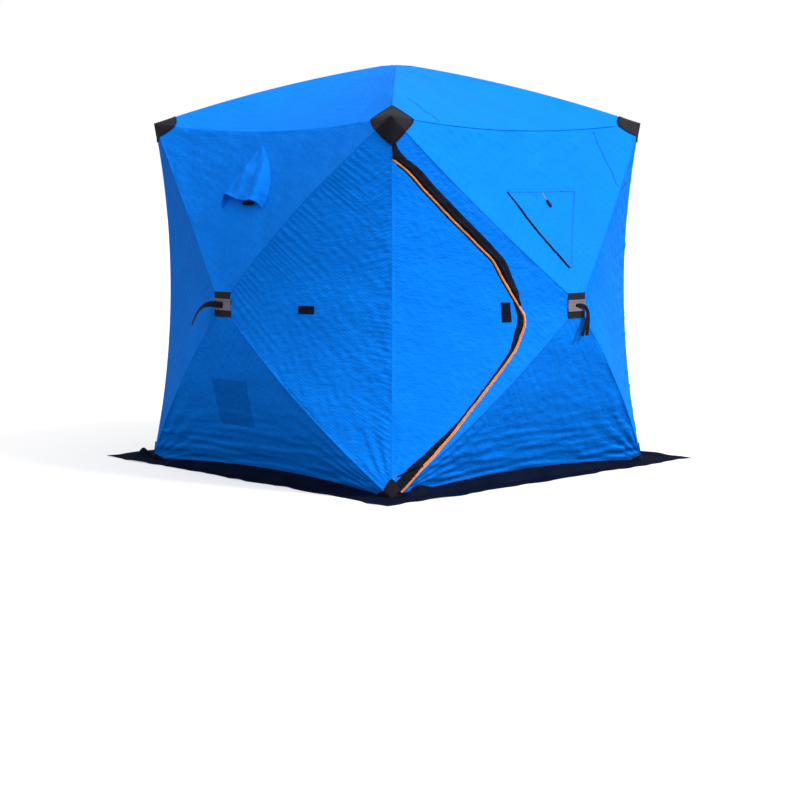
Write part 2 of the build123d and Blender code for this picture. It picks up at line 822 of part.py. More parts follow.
def fabric_near(corner, high):
    """The panels round one corner of the hut."""
    near = []
    for wall_name, hand in corner_sides[corner]:
        if (wall_name, hand) == ("front", "left"):
            near.append(door_panel)
        else:
            near.append(panels[wall_name, hand])
        near.append(panels[wall_name, "top" if high else "bottom"])
    if high:
        near += [panels["roof", name] for name in roof_over]
    else:
        near += [skirts[wall_name].part for wall_name, hand in corner_sides[corner]]
    return near


def rods_near(corner, high):
    keys = top_keys if high else foot_keys
    near = [rods[wall_name, keys[hand]] for wall_name, hand in corner_sides[corner]]
    if high:
        near.append(rods["roof", roof_keys[corner]])
    return near


def top_pocket(corner):
    sign_x, sign_y = corner_signs[corner]
    tip = Vector(sign_x * half_top, sign_y * half_top, corner_height)
    inwards = Vector(-sign_x, -sign_y, -1).normalized()
    with BuildPart() as block:
        with BuildSketch(Plane(origin=tip, z_dir=inwards)):
            RegularPolygon(pocket_radius, pole_sides)
        extrude(amount=pocket_depth)
    middle = tip + inwards * pocket_middle
    return kept_inside(block.part, fabric_near(corner, True) + rods_near(corner, True), middle)


def foot_pocket(corner):
    sign_x, sign_y = corner_signs[corner]
    reach = half_base - foot_pocket_reach
    outer = half_base + foot_pocket_overlap
    cut = half_base - foot_pocket_cut
    with BuildPart() as block:
        with BuildSketch(Plane.XY.offset(foot_pocket_base)):
            with BuildLine():
                Polyline((sign_x * outer, sign_y * outer), (sign_x * reach, sign_y * outer),
                         (sign_x * reach, sign_y * cut), (sign_x * cut, sign_y * reach),
                         (sign_x * outer, sign_y * reach), close=True)
            make_face()
        extrude(amount=foot_pocket_height)
    inside = half_base - foot_pocket_middle
    middle = Vector(sign_x * inside, sign_y * inside, foot_pocket_base + foot_pocket_height / 3)
    return kept_inside(block.part, fabric_near(corner, False) + rods_near(corner, False), middle)


with BuildPart() as top_pole_pockets:
    for corner in corner_sides:
        add(top_pocket(corner))
with BuildPart() as foot_pole_pockets:
    for corner in corner_sides:
        add(foot_pocket(corner))
save("top_pole_pockets", top_pole_pockets)
save("foot_pole_pockets", foot_pole_pockets)


# Black caps over the corners. Each follows the fabric's facets at a small gap, and its rim
# runs straight between points on the seams that meet at the corner.

top_cap_edges = {"top": top_cap_on_edge, "left": top_cap_on_corner, "right": top_cap_on_corner}
foot_cap_edges = {"bottom": foot_cap_on_hem, "left": foot_cap_on_corner, "right": foot_cap_on_corner}
roof_cap_edges = {name: top_cap_on_edge for name in roof.ends}


def towards(start, end, distance):
    return between(start, end, distance / dist(start, end))


def cap_facets(side, name, key, on_edge, on_pole):
    """The triangles of a cap on one panel, from its corner to the cap's rim."""
    grid = side.facet_grid(name)
    starts = side.ends[name][0] == key
    outer, inner = (grid[0], grid[1]) if starts else (grid[0][::-1], grid[1][::-1])
    corner = outer[0]
    edge = towards(corner, outer[1], on_edge)
    pole = towards(corner, inner[0], on_pole)
    if not starts:
        return [(edge, corner, pole)]
    across = (edge[1] - pole[1], pole[0] - edge[0])
    reach = across[0] * (edge[0] - corner[0]) + across[1] * (edge[1] - corner[1])
    run = across[0] * (inner[1][0] - corner[0]) + across[1] * (inner[1][1] - corner[1])
    fold = between(corner, inner[1], reach / run)
    return [(corner, edge, fold), (corner, fold, pole)]


def corner_cap(places):
    """A cap round one corner, over each side that meets there."""
    outward = {}
    facets = []
    for side, key, edges, on_pole in places:
        for name, on_edge in edges.items():
            if key in side.ends[name]:
                for facet in cap_facets(side, name, key, on_edge, on_pole):
                    points = [tuple(round(value, 4) for value in side.world(point)) for point in facet]
                    for point in points:
                        outward.setdefault(point, set()).add(tuple(side.plane.z_dir))
                    facets.append(points)
    order = list(outward)
    layers = []
    for amount in (cap_gap, cap_gap + cap_thickness):
        layers.append([Vector(*point) + sum((Vector(*way) for way in outward[point]), Vector()) * amount
                       for point in order])
    return facet_solid(*layers, [tuple(order.index(point) for point in points) for points in facets])


with BuildPart() as top_corner_caps:
    for corner, meeting in corner_sides.items():
        places = [(walls[name], top_keys[hand], top_cap_edges, top_cap_on_wall_pole)
                  for name, hand in meeting]
        places.append((roof, roof_keys[corner], roof_cap_edges, top_cap_on_roof_pole))
        add(corner_cap(places))
with BuildPart() as bottom_corner_caps:
    for corner, meeting in corner_sides.items():
        add(corner_cap([(walls[name], foot_keys[hand], foot_cap_edges, foot_cap_on_pole)
                        for name, hand in meeting]))
    for wall_name in walls:
        add(skirts[wall_name].part, mode=Mode.SUBTRACT)
save("top_corner_caps", top_corner_caps)
save("bottom_corner_caps", bottom_corner_caps)
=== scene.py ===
"""Looks of the pop-up ice fishing hut: smooth quilted fabric in place of the frame's flat
facets, seams over the poles, corner caps, zip, bands, window, vent, skirt and straps.

Metres. A wall's own coordinates are u to the right as seen from outside, v upwards and w
outwards from the middle of the hut, as in the frame.
"""
import bpy
import numpy as np
from functools import partial
from math import cos, pi, radians, sin
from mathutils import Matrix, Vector


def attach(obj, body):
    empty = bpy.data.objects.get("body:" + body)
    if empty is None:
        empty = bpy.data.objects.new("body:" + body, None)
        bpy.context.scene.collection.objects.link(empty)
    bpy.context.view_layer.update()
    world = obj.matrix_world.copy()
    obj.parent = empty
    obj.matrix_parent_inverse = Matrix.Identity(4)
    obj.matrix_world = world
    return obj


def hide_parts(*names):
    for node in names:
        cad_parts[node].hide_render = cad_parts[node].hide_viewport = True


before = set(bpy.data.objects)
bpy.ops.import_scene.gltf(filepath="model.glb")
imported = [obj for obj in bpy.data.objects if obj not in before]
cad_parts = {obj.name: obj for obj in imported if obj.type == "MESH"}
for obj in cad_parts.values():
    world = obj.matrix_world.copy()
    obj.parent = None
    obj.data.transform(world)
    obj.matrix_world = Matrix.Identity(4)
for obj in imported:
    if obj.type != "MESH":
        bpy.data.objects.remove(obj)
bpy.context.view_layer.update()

MM = 0.001

# Driving sizes, as in the frame
base_width = 1.8
top_width = 1.755
corner_height = 1.735
roof_height = 2.025
hub_height = 0.861
door_wall_bulge = 0.331
side_wall_bulge = 0.26
fabric = 0.004
corner_edge_sag = 0.061
top_edge_sag = 0.052
hem_height = 0.003
hem_rise = 0.045
hem_tuck = 0.015
plate_width = 0.12
door_wall_bows = {"top_left": -0.028, "top_right": 0.012, "low_left": 0.045, "low_right": 0.04}
side_wall_bows = {"top_left": -0.005, "top_right": 0.06, "low_left": 0.035, "low_right": 0.052}
roof_bow = 0.025
half_base = base_width / 2
half_top = top_width / 2
half_plate = plate_width / 2

# Columns and rows of a fabric panel's outer face, and how much coarser its inner face is
plain_mesh = (104, 64)
near_meshes = {("left", "right"): (320, 200), ("left", "bottom"): (176, 144),
               ("left", "top"): (144, 120), ("front", "right"): (176, 160),
               ("front", "bottom"): (176, 144), ("front", "top"): (176, 144)}
inner_step = 4

# Colours, linear
BLUE = (0.002, 0.205, 0.86, 1)
BLUE_LIGHT = (0.003, 0.235, 0.96, 1)
BLUE_DARK = (0.001, 0.150, 0.70, 1)
BLACK = (0.0022, 0.0030, 0.0085, 1)
CAP_BLACK = (0.0045, 0.004, 0.0085, 1)
SKIRT_BLACK = (0.0016, 0.0038, 0.0135, 1)
ORANGE = (0.9, 0.29, 0.07, 1)
GREY = (0.15, 0.14, 0.165, 1)


# Geometry of the walls and the roof: quadratic patches, four to a side

def lerp(a, b, share):
    return np.asarray(a, float) * (1 - share) + np.asarray(b, float) * share


def weights(share):
    return [(1 - share) ** 2, 2 * share * (1 - share), share ** 2]


def unit(vector):
    return vector / np.linalg.norm(vector)


def directions(line):
    """Which way a line runs at each of its points, as unit vectors."""
    run = np.gradient(line, axis=0)
    return run / np.linalg.norm(run, axis=1, keepdims=True)


class Side:
    """A wall or the roof: how it stands in space, and the control nets of its panels."""

    ends = {"top": ("top_left", "top_right"), "bottom": ("low_right", "low_left"),
            "left": ("low_left", "top_left"), "right": ("top_right", "low_right")}
    reach = {"top_left": (-1, 1), "top_right": (1, 1), "low_left": (-1, -1), "low_right": (1, -1)}

    def __init__(self, name, axes, corners, hub_level, hub_centre, bows, edge_controls):
        self.name = name
        self.axes = np.array(axes, float)
        self.corners = {key: np.array(value, float) for key, value in corners.items()}
        self.hub_level = hub_level
        self.hub_centre = hub_centre
        self.patch = {key: np.array([x * half_plate, hub_centre + y * half_plate, hub_level])
                      for key, (x, y) in self.reach.items()}
        out = np.array([0, 0, 1.0])
        pole = {key: lerp(self.corners[key], self.patch[key], 0.5) + 2 * bows[key] * out for key in corners}
        self.nets = {}
        for panel, (a, b) in self.ends.items():
            edge = np.array(edge_controls[panel], float)
            hub_edge = lerp(self.patch[a], self.patch[b], 0.5)
            four = self.corners[a] + self.corners[b] + self.patch[a] + self.patch[b]
            blend = (pole[a] + pole[b] + edge + hub_edge) / 2 - four / 4
            self.nets[panel] = [[self.corners[a], edge, self.corners[b]], [pole[a], blend, pole[b]],
                                [self.patch[a], hub_edge, self.patch[b]]]

    def point(self, panel, s, t):
        """Points on a panel: s across from its first pole to its second, t from its edge to the hub."""
        s = np.asarray(s, float)[..., None]
        t = np.asarray(t, float)[..., None]
        across, down = weights(s), weights(t)
        net = self.nets[panel]
        return sum(down[i] * across[j] * net[i][j] for i in range(3) for j in range(3))

    def shares(self, panel, u, v):
        """The s and t of places given in u and v, by Newton's method."""
        u = np.asarray(u, float)
        v = np.asarray(v, float)
        s = np.full(u.shape, 0.5)
        t = np.full(u.shape, 0.4)
        step = 1e-4
        for _ in range(14):
            here = self.point(panel, s, t)
            by_s = (self.point(panel, s + step, t) - here) / step
            by_t = (self.point(panel, s, t + step) - here) / step
            miss_u, miss_v = u - here[..., 0], v - here[..., 1]
            det = by_s[..., 0] * by_t[..., 1] - by_t[..., 0] * by_s[..., 1]
            det = np.where(np.abs(det) < 1e-9, 1e-9, det)
            s = np.clip(s + (miss_u * by_t[..., 1] - by_t[..., 0] * miss_v) / det, -0.3, 1.3)
            t = np.clip(t + (by_s[..., 0] * miss_v - miss_u * by_s[..., 1]) / det, -0.3, 1.1)
        return s, t

    def world(self, points):
        return np.asarray(points) @ self.axes

    def panel_after(self, key):
        """The panel whose first pole is the one to the corner key."""
        return next(panel for panel, ends in self.ends.items() if ends[0] == key)

    def pole(self, key, count=200):
        """Points on a pole's line from its corner to the hub, and their shares t."""
        t = np.linspace(0, 1, count)
        return self.point(self.panel_after(key), 0 * t, t), t


def wall_side(name, turn, bulge, bows):
    angle = radians(turn)
    axes = [(cos(angle), sin(angle), 0), (0, 0, 1), (sin(angle), -cos(angle), 0)]
    corners = {"top_left": (-half_top, corner_height, half_top),
               "top_right": (half_top, corner_height, half_top),
               "low_left": (-half_base, hem_height, half_base),
               "low_right": (half_base, hem_height, half_base)}
    edge = lerp(corners["low_right"], corners["top_right"], 0.5)
    drawn_in = edge[0] - 2 * corner_edge_sag
    middle = half_base + (half_top - half_base) * hub_height / corner_height
    controls = {"top": (0, corner_height - 2 * top_edge_sag, half_top - 2 * top_edge_sag),
                "bottom": (0, hem_height + 2 * hem_rise, half_base - 2 * hem_tuck),
                "left": (-drawn_in, edge[1], drawn_in), "right": (drawn_in, edge[1], drawn_in)}
    return Side(name, axes, corners, middle + bulge, hub_height, bows, controls)


def roof_side():
    corners = {key: (x * half_top, y * half_top, corner_height)
               for key, (x, y) in Side.reach.items()}
    edge, level = half_top - 2 * top_edge_sag, corner_height - 2 * top_edge_sag
    controls = {"top": (0, edge, level), "bottom": (0, -edge, level),
                "left": (-edge, 0, level), "right": (edge, 0, level)}
    return Side("roof", np.eye(3), corners, roof_height, 0.0, dict.fromkeys(corners, roof_bow), controls)


walls = {"front": wall_side("front", 0, door_wall_bulge, door_wall_bows),
         "right": wall_side("right", 90, side_wall_bulge, side_wall_bows),
         "back": wall_side("back", 180, door_wall_bulge, door_wall_bows),
         "left": wall_side("left", 270, side_wall_bulge, side_wall_bows)}
roof = roof_side()
sides = dict(walls, roof=roof)
front, left_wall = walls["front"], walls["left"]
# The side beyond each panel's outer edge
beyond = {("roof", "top"): "back", ("roof", "bottom"): "front", ("roof", "left"): "left",
          ("roof", "right"): "right"}
round_hut = list(walls)
for i, wall_name in enumerate(round_hut):
    beyond[wall_name, "top"] = "roof"
    beyond[wall_name, "right"] = round_hut[(i + 1) % 4]
    beyond[wall_name, "left"] = round_hut[i - 1]


# Folds and ripples of the stretched cloth

def smooth(x, low, high):
    x = np.clip((np.asarray(x, float) - low) / (high - low), 0, 1)
    return x * x * (3 - 2 * x)


def ripples(seed, longest, shortest, count=14, lean=None):
    """A steady random height field: a sum of sine waves. lean keeps their crests near one direction."""
    rng = np.random.default_rng(seed)
    lengths = np.exp(rng.uniform(np.log(shortest), np.log(longest), count))
    angles = rng.uniform(0, pi, count) if lean is None else rng.normal(lean, 0.22, count)
    phases = rng.uniform(0, 2 * pi, count)
    sizes = lengths / longest
    scale = 1 / np.sqrt((sizes ** 2).sum() / 2)

    def field(u, v):
        total = 0
        for length, angle, phase, size in zip(lengths, angles, phases, sizes):
            total = total + size * np.sin(2 * pi * (u * cos(angle) + v * sin(angle)) / length + phase)
        return total * scale
    return field


def puckers(along, away, seed, pitch, height, reach):
    """Gathers that run out at right angles from a seam, uneven in spacing, length and height."""
    rng = np.random.default_rng(seed)
    a, b, c, d = rng.uniform(0, 2 * pi, 4)
    spacing = along / pitch + 0.55 * np.sin(along / 0.083 + a) + 0.4 * np.sin(along / 0.037 + b)
    length = reach * (1 + 0.45 * np.sin(along / 0.061 + c) + 0.3 * np.sin(along / 0.023 + d))
    crest = np.sin(2 * pi * spacing) + 0.3
    return height * crest * np.exp(-(away / np.maximum(length, 0.02)) ** 1.3)


def fan(u, v, corner, seed, folds, height, reach):
    """Folds that spread from a corner that pulls on the cloth."""
    rng = np.random.default_rng(seed)
    du, dv = u - corner[0], v - corner[1]
    r = np.hypot(du, dv)
    angle = np.arctan2(dv, du)
    wobble = 0.12 * np.sin(r / 0.09 + rng.uniform(0, 6)) + 0.2 * np.sin(angle * 3 + rng.uniform(0, 6))
    crest = np.sin(angle * folds + rng.uniform(0, 6) + wobble * 6)
    return height * crest * smooth(r, 0.04, 0.2) * np.exp(-(r / reach) ** 2)


def from_pole(side, key, u, v):
    """How far along a pole from its corner, and how far beside it, places in u and v are."""
    corner = side.corners[key][:2]
    run = unit(side.patch[key][:2] - corner)
    du, dv = u - corner[0], v - corner[1]
    return du * run[0] + dv * run[1], np.abs(du * run[1] - dv * run[0])


# How strongly each panel puckers along its first pole, its second pole and its outer edge
pucker_heights = {("left", "right"): (2.6, 1.4, 1.8), ("left", "left"): (1.4, 1.8, 1.4),
                  ("left", "bottom"): (1.2, 0.8, 1.6), ("left", "top"): (0.4, 0.4, 0.6),
                  ("front", "right"): (1.6, 1.6, 1.6), ("front", "bottom"): (0.6, 0.9, 1.2),
                  ("front", "top"): (2.0, 1.3, 0.9), ("front", "left"): (1.2, 1.4, 0.4),
                  ("right", "left"): (2.0, 1.6, 1.2), ("right", "right"): (2.6, 1.6, 1.0),
                  ("back", "left"): (2.0, 2.0, 1.2), ("back", "right"): (2.2, 2.2, 1.6),
                  ("right", "bottom"): (1.4, 1.4, 1.9), ("back", "bottom"): (1.2, 1.4, 1.6)}
# Crumples towards the outer edge: height in millimetres, how far in, longest and shortest wave
crumples = {("front", "right"): (2.8, 0.3, 0.12, 0.035), ("left", "right"): (0.8, 0.2, 0.1, 0.04),
            ("front", "top"): (1.3, 0.45, 0.1, 0.036)}
# Pitch and reach of the puckers at the first pole, the second pole and the outer edge
pucker_spread = ((0.029, 0.11), (0.033, 0.09), (0.03, 0.055))
# How far the folds may stand in and out, and how far from a seam they start
fold_limits = (-3.4 * MM, 7 * MM)
seam_calm = 0.018
# Folds that pull out of the lower corners: how many, how high in millimetres, how far
corner_pull = {"left": (30, 3.0, 0.36), "right": (30, 3.0, 0.34), "bottom": (42, 5.0, 0.5)}
# How far the corner caps reach, high and low, and where the cloth's folds are whole again
cap_ends = {"top": (0.13, 0.21), "low": (0.055, 0.11)}
hem_flare = 0.0035


def cloth_rise(side, panel, s, t, u, v):
    """How far the cloth stands off the plain patch, outwards."""
    seed = 100 * list(sides).index(side.name) + 10 * list(side.ends).index(panel)
    net = side.nets[panel]
    outer = np.linalg.norm(net[0][2] - net[0][0])
    drop = np.linalg.norm(lerp(net[2][0], net[2][2], 0.5) - lerp(net[0][0], net[0][2], 0.5))
    away_edge = np.maximum(t, 0) * drop
    seams = [from_pole(side, key, u, v) for key in side.ends[panel]] + [(s * outer, away_edge)]
    heights = pucker_heights.get((side.name, panel), (1.0, 1.0, 1.0))
    rise = 0
    for i, ((along, away), height, (pitch, reach)) in enumerate(zip(seams, heights, pucker_spread)):
        rise = rise + puckers(along, away, seed + 1 + i, pitch, height * MM, reach)
    rise = rise + 1.5 * MM * ripples(seed + 4, 0.42, 0.09)(u, v)
    rise = rise + 0.6 * MM * ripples(seed + 5, 0.07, 0.026, 16)(u, v)
    if (side.name, panel) in crumples:
        height, reach, longest, shortest = crumples[side.name, panel]
        crumple = ripples(seed + 8, longest, shortest)(u, v)
        rise = rise + height * MM * np.exp(-(away_edge / reach) ** 2) * crumple
    if side.name != "roof" and panel != "top":
        folds, height, reach = corner_pull[panel]
        for key, turn in (("low_left", 1), ("low_right", -1)):
            if key in side.ends[panel]:
                rise = rise + fan(turn * u, v, (turn * side.corners[key][0], side.corners[key][1]),
                                  seed + 6, folds, height * MM, reach)
    if panel == "bottom":
        low = np.exp(-(away_edge / 0.26) ** 2)
        rise = rise + 3.0 * MM * low * ripples(seed + 7, 0.1, 0.034, 14, pi / 2)(u * 0.35, v)
    near = np.minimum(np.minimum(seams[0][1], seams[1][1]), away_edge)
    rise = np.clip(rise, *fold_limits) * smooth(near, 0.0, seam_calm)
    if panel == "bottom":
        rise = rise + hem_flare * (1 - smooth(away_edge, 0.0, 0.022))
    for key in side.ends[panel]:
        corner = side.corners[key]
        start, end = cap_ends["top" if side.name == "roof" else key[:3]]
        rise = rise * smooth(np.hypot(u - corner[0], v - corner[1]), start, end)
    return rise


def cloth(side, panel, s, t, rise=0.0, turned=None):
    """World points of a panel's outer face, raised by rise. turned mixes in the side beyond the
    outer edge, so that two sides' layers meet in the mitre."""
    points = side.point(panel, s, t)
    lift = cloth_rise(side, panel, s, t, points[..., 0], points[..., 1])
    points = points.copy()
    points[..., 2] += lift + rise
    world = side.world(points)
    if turned is not None and (side.name, panel) in beyond:
        other = sides[beyond[side.name, panel]].axes[2]
        world = world + (np.broadcast_to(rise, turned.shape) * turned)[..., None] * other
    return world


def on_cloth(side, panel, u, v, rise=0.0):
    s, t = side.shares(panel, u, v)
    return cloth(side, panel, s, t, rise)


# Lines

def run_lengths(points):
    """How far along a line each of its points is."""
    return np.concatenate([[0], np.cumsum(np.linalg.norm(np.diff(points, axis=0), axis=-1))])


def points_at(points, at):
    """Points at given lengths along a line."""
    lengths = run_lengths(points)
    return np.stack([np.interp(at, lengths, points[:, k]) for k in range(points.shape[1])], 1)


def spaced(points, pitch):
    """Points at about an even pitch, from end to end of a line."""
    total = run_lengths(points)[-1]
    return points_at(points, np.linspace(0, total, max(2, int(total / pitch))))


def dense(line, step=0.004):
    """Points at an exact step from a line's start."""
    line = np.array(line, float)
    return points_at(line, np.arange(0, run_lengths(line)[-1], step))


def smoothed(line, times):
    """Evens a line out in place, its ends kept."""
    for _ in range(times):
        line[1:-1] = (line[:-2] + 2 * line[1:-1] + line[2:]) / 4
    return line


def along_wall(side, panel, flat, rise=0.0):
    """World points of a line or grid of (u, v) on the cloth."""
    return on_cloth(side, panel, flat[..., 0], flat[..., 1], rise)


# Meshes

def linked(obj):
    bpy.context.scene.collection.objects.link(obj)
    return obj


def new_object(name, vertices, faces, material, uvs=None, sharp=()):
    """A mesh object with smooth faces, sharp edges where named, and a map of real sizes in metres."""
    mesh = bpy.data.meshes.new(name)
    mesh.from_pydata([tuple(p) for p in vertices], [], [tuple(int(i) for i in f) for f in faces])
    mesh.polygons.foreach_set("use_smooth", [True] * len(mesh.polygons))
    if len(sharp):
        wanted = {tuple(sorted(pair)) for pair in sharp}
        for edge in mesh.edges:
            if tuple(sorted(edge.vertices)) in wanted:
                edge.use_edge_sharp = True
    uvs = np.zeros((len(vertices), 2)) if uvs is None else np.asarray(uvs, float)
    loops = np.zeros(len(mesh.loops), int)
    mesh.loops.foreach_get("vertex_index", loops)
    mesh.uv_layers.new(name="size").data.foreach_set("uv", uvs[loops].ravel())
    mesh.materials.append(material)
    mesh.validate()
    mesh.update()
    return linked(bpy.data.objects.new(name, mesh))


def grid_faces(rows, columns, first=0, wrap=False):
    """Numbers of a grid's points, and its quads. wrap joins the last column to the first."""
    index = first + np.arange(rows * columns).reshape(rows, columns)
    shown = np.concatenate([index, index[:, :1]], 1) if wrap else index
    return index, np.stack([shown[:-1, :-1], shown[1:, :-1], shown[1:, 1:], shown[:-1, 1:]],
                           -1).reshape(-1, 4)


turned_round = [0, 3, 2, 1]


def shell_object(name, outer, inner, material, uv, step=inner_step):
    """A closed sheet. outer and inner are grids of points of the same size, and the inner face
    keeps only every step-th row and column."""
    low = inner[::step, ::step]
    vertices = np.concatenate([outer.reshape(-1, 3), low.reshape(-1, 3)])
    uvs = np.concatenate([uv.reshape(-1, 2), uv[::step, ::step].reshape(-1, 2)])
    top, top_faces = grid_faces(*outer.shape[:2])
    bottom, bottom_faces = grid_faces(*low.shape[:2], top.size)
    faces = top_faces.tolist() + bottom_faces[:, turned_round].tolist()
    sharp = []
    borders = [(top[0], bottom[0], False), (top[-1], bottom[-1], True),
               (top[:, 0], bottom[:, 0], True), (top[:, -1], bottom[:, -1], False)]
    for fine, coarse, turn in borders:
        sharp += list(zip(fine[:-1].tolist(), fine[1:].tolist()))
        sharp += list(zip(coarse[:-1].tolist(), coarse[1:].tolist()))
        for i in range(len(coarse) - 1):
            face = fine[i * step:(i + 1) * step + 1].tolist() + [int(coarse[i + 1]), int(coarse[i])]
            faces.append(face[::-1] if turn else face)
    return new_object(name, vertices, faces, material, uvs, sharp)


def strip_object(name, grid, material, uv):
    """An open sheet over one grid of points."""
    return new_object(name, grid.reshape(-1, 3), grid_faces(*grid.shape[:2])[1].tolist(), material,
                      uv.reshape(-1, 2))


def sheet_on_wall(name, side, panel, flat, rise, inner_rise, material, step=inner_step):
    """A closed sheet over a grid of (u, v) on the cloth, between two heights over it."""
    return shell_object(name, along_wall(side, panel, flat, rise), along_wall(side, panel, flat, inner_rise),
                        material, flat, step)


def thickened(obj, thickness, offset=1.0):
    """Gives an open sheet a thickness: outwards with offset 1, inwards with -1."""
    modifier = obj.modifiers.new("thickness", "SOLIDIFY")
    modifier.thickness = thickness
    modifier.offset = offset
    return obj


def tube(name, points, radius, material):
    """A round cord or piping along points."""
    curve = bpy.data.curves.new(name, "CURVE")
    curve.dimensions = "3D"
    curve.bevel_depth = radius
    curve.bevel_resolution = 1
    curve.use_fill_caps = True
    spline = curve.splines.new("POLY")
    spline.points.add(len(points) - 1)
    for place, point in zip(spline.points, points):
        place.co = (*point, 1)
    curve.materials.append(material)
    return linked(bpy.data.objects.new(name, curve))


def placed(obj, body="shell", nodes=()):
    """Hides the frame's nodes that a piece stands for, and hangs the piece on its body."""
    if nodes:
        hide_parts(*nodes)
    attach(obj, body)
    return obj


# Materials

def node_material(name, colour, roughness, sheen, gloss):
    material = bpy.data.materials.new(name)
    material.use_nodes = True
    tree = material.node_tree
    shader = tree.nodes["Principled BSDF"]
    shader.inputs["Base Color"].default_value = colour
    shader.inputs["Roughness"].default_value = roughness
    shader.inputs["Sheen Weight"].default_value = sheen
    shader.inputs["Sheen Roughness"].default_value = 0.4
    shader.inputs["Specular IOR Level"].default_value = gloss
    material.diffuse_color = colour
    return material, tree, shader


def connect(tree, value, socket):
    """Sets a socket to a number or colour, or links another socket to it."""
    if isinstance(value, (int, float, tuple)):
        socket.default_value = value
    elif value is not None:
        tree.links.new(value, socket)


def math_node(tree, operation, a, b=None, clamp=False):
    node = tree.nodes.new("ShaderNodeMath")
    node.operation = operation
    node.use_clamp = clamp
    for socket, value in zip(node.inputs, (a, b)):
        connect(tree, value, socket)
    return node.outputs[0]


def size_map(tree):
    """The u and v of the piece in metres, as two sockets, and as one vector."""
    uv = tree.nodes.new("ShaderNodeUVMap")
    uv.uv_map = "size"
    split = tree.nodes.new("ShaderNodeSeparateXYZ")
    tree.links.new(uv.outputs[0], split.inputs[0])
    return uv.outputs[0], split.outputs[0], split.outputs[1]


def noise(tree, vector, scale, detail=3.0, stretch=None):
    if stretch is not None:
        mapping = tree.nodes.new("ShaderNodeMapping")
        mapping.inputs["Scale"].default_value = stretch
        tree.links.new(vector, mapping.inputs["Vector"])
        vector = mapping.outputs[0]
    node = tree.nodes.new("ShaderNodeTexNoise")
    node.inputs["Scale"].default_value = scale
    node.inputs["Detail"].default_value = detail
    tree.links.new(vector, node.inputs["Vector"])
    return node.outputs["Fac"]


def bump(tree, height, shader, strength, distance, below=None):
    node = tree.nodes.new("ShaderNodeBump")
    node.inputs["Strength"].default_value = strength
    node.inputs["Distance"].default_value = distance
    tree.links.new(height, node.inputs["Height"])
    if below is not None:
        tree.links.new(below, node.inputs["Normal"])
    if shader is not None:
        tree.links.new(node.outputs[0], shader.inputs["Normal"])
    return node.outputs[0]


def mix_colour(tree, share, a, b):
    node = tree.nodes.new("ShaderNodeMix")
    node.data_type = "RGBA"
    for i, value in ((0, share), (6, a), (7, b)):
        connect(tree, value, node.inputs[i])
    return node.outputs[2]


def worn_colour(tree, shader, colour, share, times, more):
    """The colour, mixed by share with a paler one: times as bright and more on top."""
    pale = tuple(min(1.0, c * times + more) for c in colour[:3]) + (1,)
    connect(tree, mix_colour(tree, share, colour, pale), shader.inputs["Base Color"])


def shaded(colour, level=0.74):
    return tuple(level * c for c in colour[:3]) + (1,)


# Diamonds of the quilting: their width, how deep the lines lie, width over height
quilt_pitch = 0.022
quilt_height = 0.0016
quilt_slant = 1.45


def quilt_lines(maths, x, y):
    """Height of diamond quilting: low along two families of slanted stitch lines."""
    heights = []
    for slant in (quilt_slant, -quilt_slant):
        across = maths("ADD", x, maths("MULTIPLY", y, slant))
        wave = maths("SINE", maths("MULTIPLY", across, pi / quilt_pitch))
        heights.append(maths("POWER", maths("ABSOLUTE", wave), 0.45))
    return maths("MULTIPLY", *heights)


def quilted(name, colour=BLUE, light=BLUE_LIGHT, dark=BLUE_DARK, quilt=1.0):
    """Satin polyester, quilted in fine diamonds, a little crinkled."""
    material, tree, shader = node_material(name, colour, 0.5, 0.0, 0.02)
    maths = partial(math_node, tree)
    vector, x, y = size_map(tree)
    lines = quilt_lines(maths, x, y)
    crinkle = noise(tree, vector, 34.0, 5.0, (1.0, 2.2, 1.0))
    weave = noise(tree, vector, 900.0, 2.0)
    patchy = noise(tree, vector, 5.0, 3.0)
    tone = maths("ADD", maths("MULTIPLY", patchy, 0.9), maths("MULTIPLY", crinkle, 0.5))
    tone = maths("SUBTRACT", tone, 0.4, clamp=True)
    base = mix_colour(tree, 0.45, mix_colour(tree, tone, dark, light), colour)
    # Painted shade along the quilting's stitch lines, where the cloth dips
    seam_shade = maths("SUBTRACT", 1.0, maths("MULTIPLY", lines, 0.9), clamp=True)
    base = mix_colour(tree, maths("MULTIPLY", seam_shade, 0.18 * quilt), base, dark)
    connect(tree, base, shader.inputs["Base Color"])
    connect(tree, maths("ADD", maths("MULTIPLY", crinkle, 0.2), 0.4), shader.inputs["Roughness"])
    first = bump(tree, lines, None, 0.38 * quilt, quilt_height)
    second = bump(tree, crinkle, None, 0.45, 0.006, first)
    bump(tree, weave, shader, 0.1, 0.0004, second)
    return material


def coated(name, colour, roughness=0.6, weave=3120.0, tone=1.9, sheen=0.1, gloss=0.12):
    """Coated black cloth with pale worn patches and a visible weave, in radians per metre."""
    material, tree, shader = node_material(name, colour, roughness, sheen, gloss)
    maths = partial(math_node, tree)
    vector, x, y = size_map(tree)
    checks = maths("MULTIPLY", *[maths("SINE", maths("MULTIPLY", way, weave)) for way in (x, y)])
    worn = noise(tree, vector, 9.0, 5.0)
    creases = noise(tree, vector, 26.0, 4.0, (1.0, 3.0, 1.0))
    share = maths("MULTIPLY", maths("POWER", worn, 2.0), 1.6, clamp=True)
    worn_colour(tree, shader, colour, share, tone, 0.002)
    bump(tree, creases, shader, 0.5, 0.005, bump(tree, checks, None, 0.25, 0.0005))
    return material


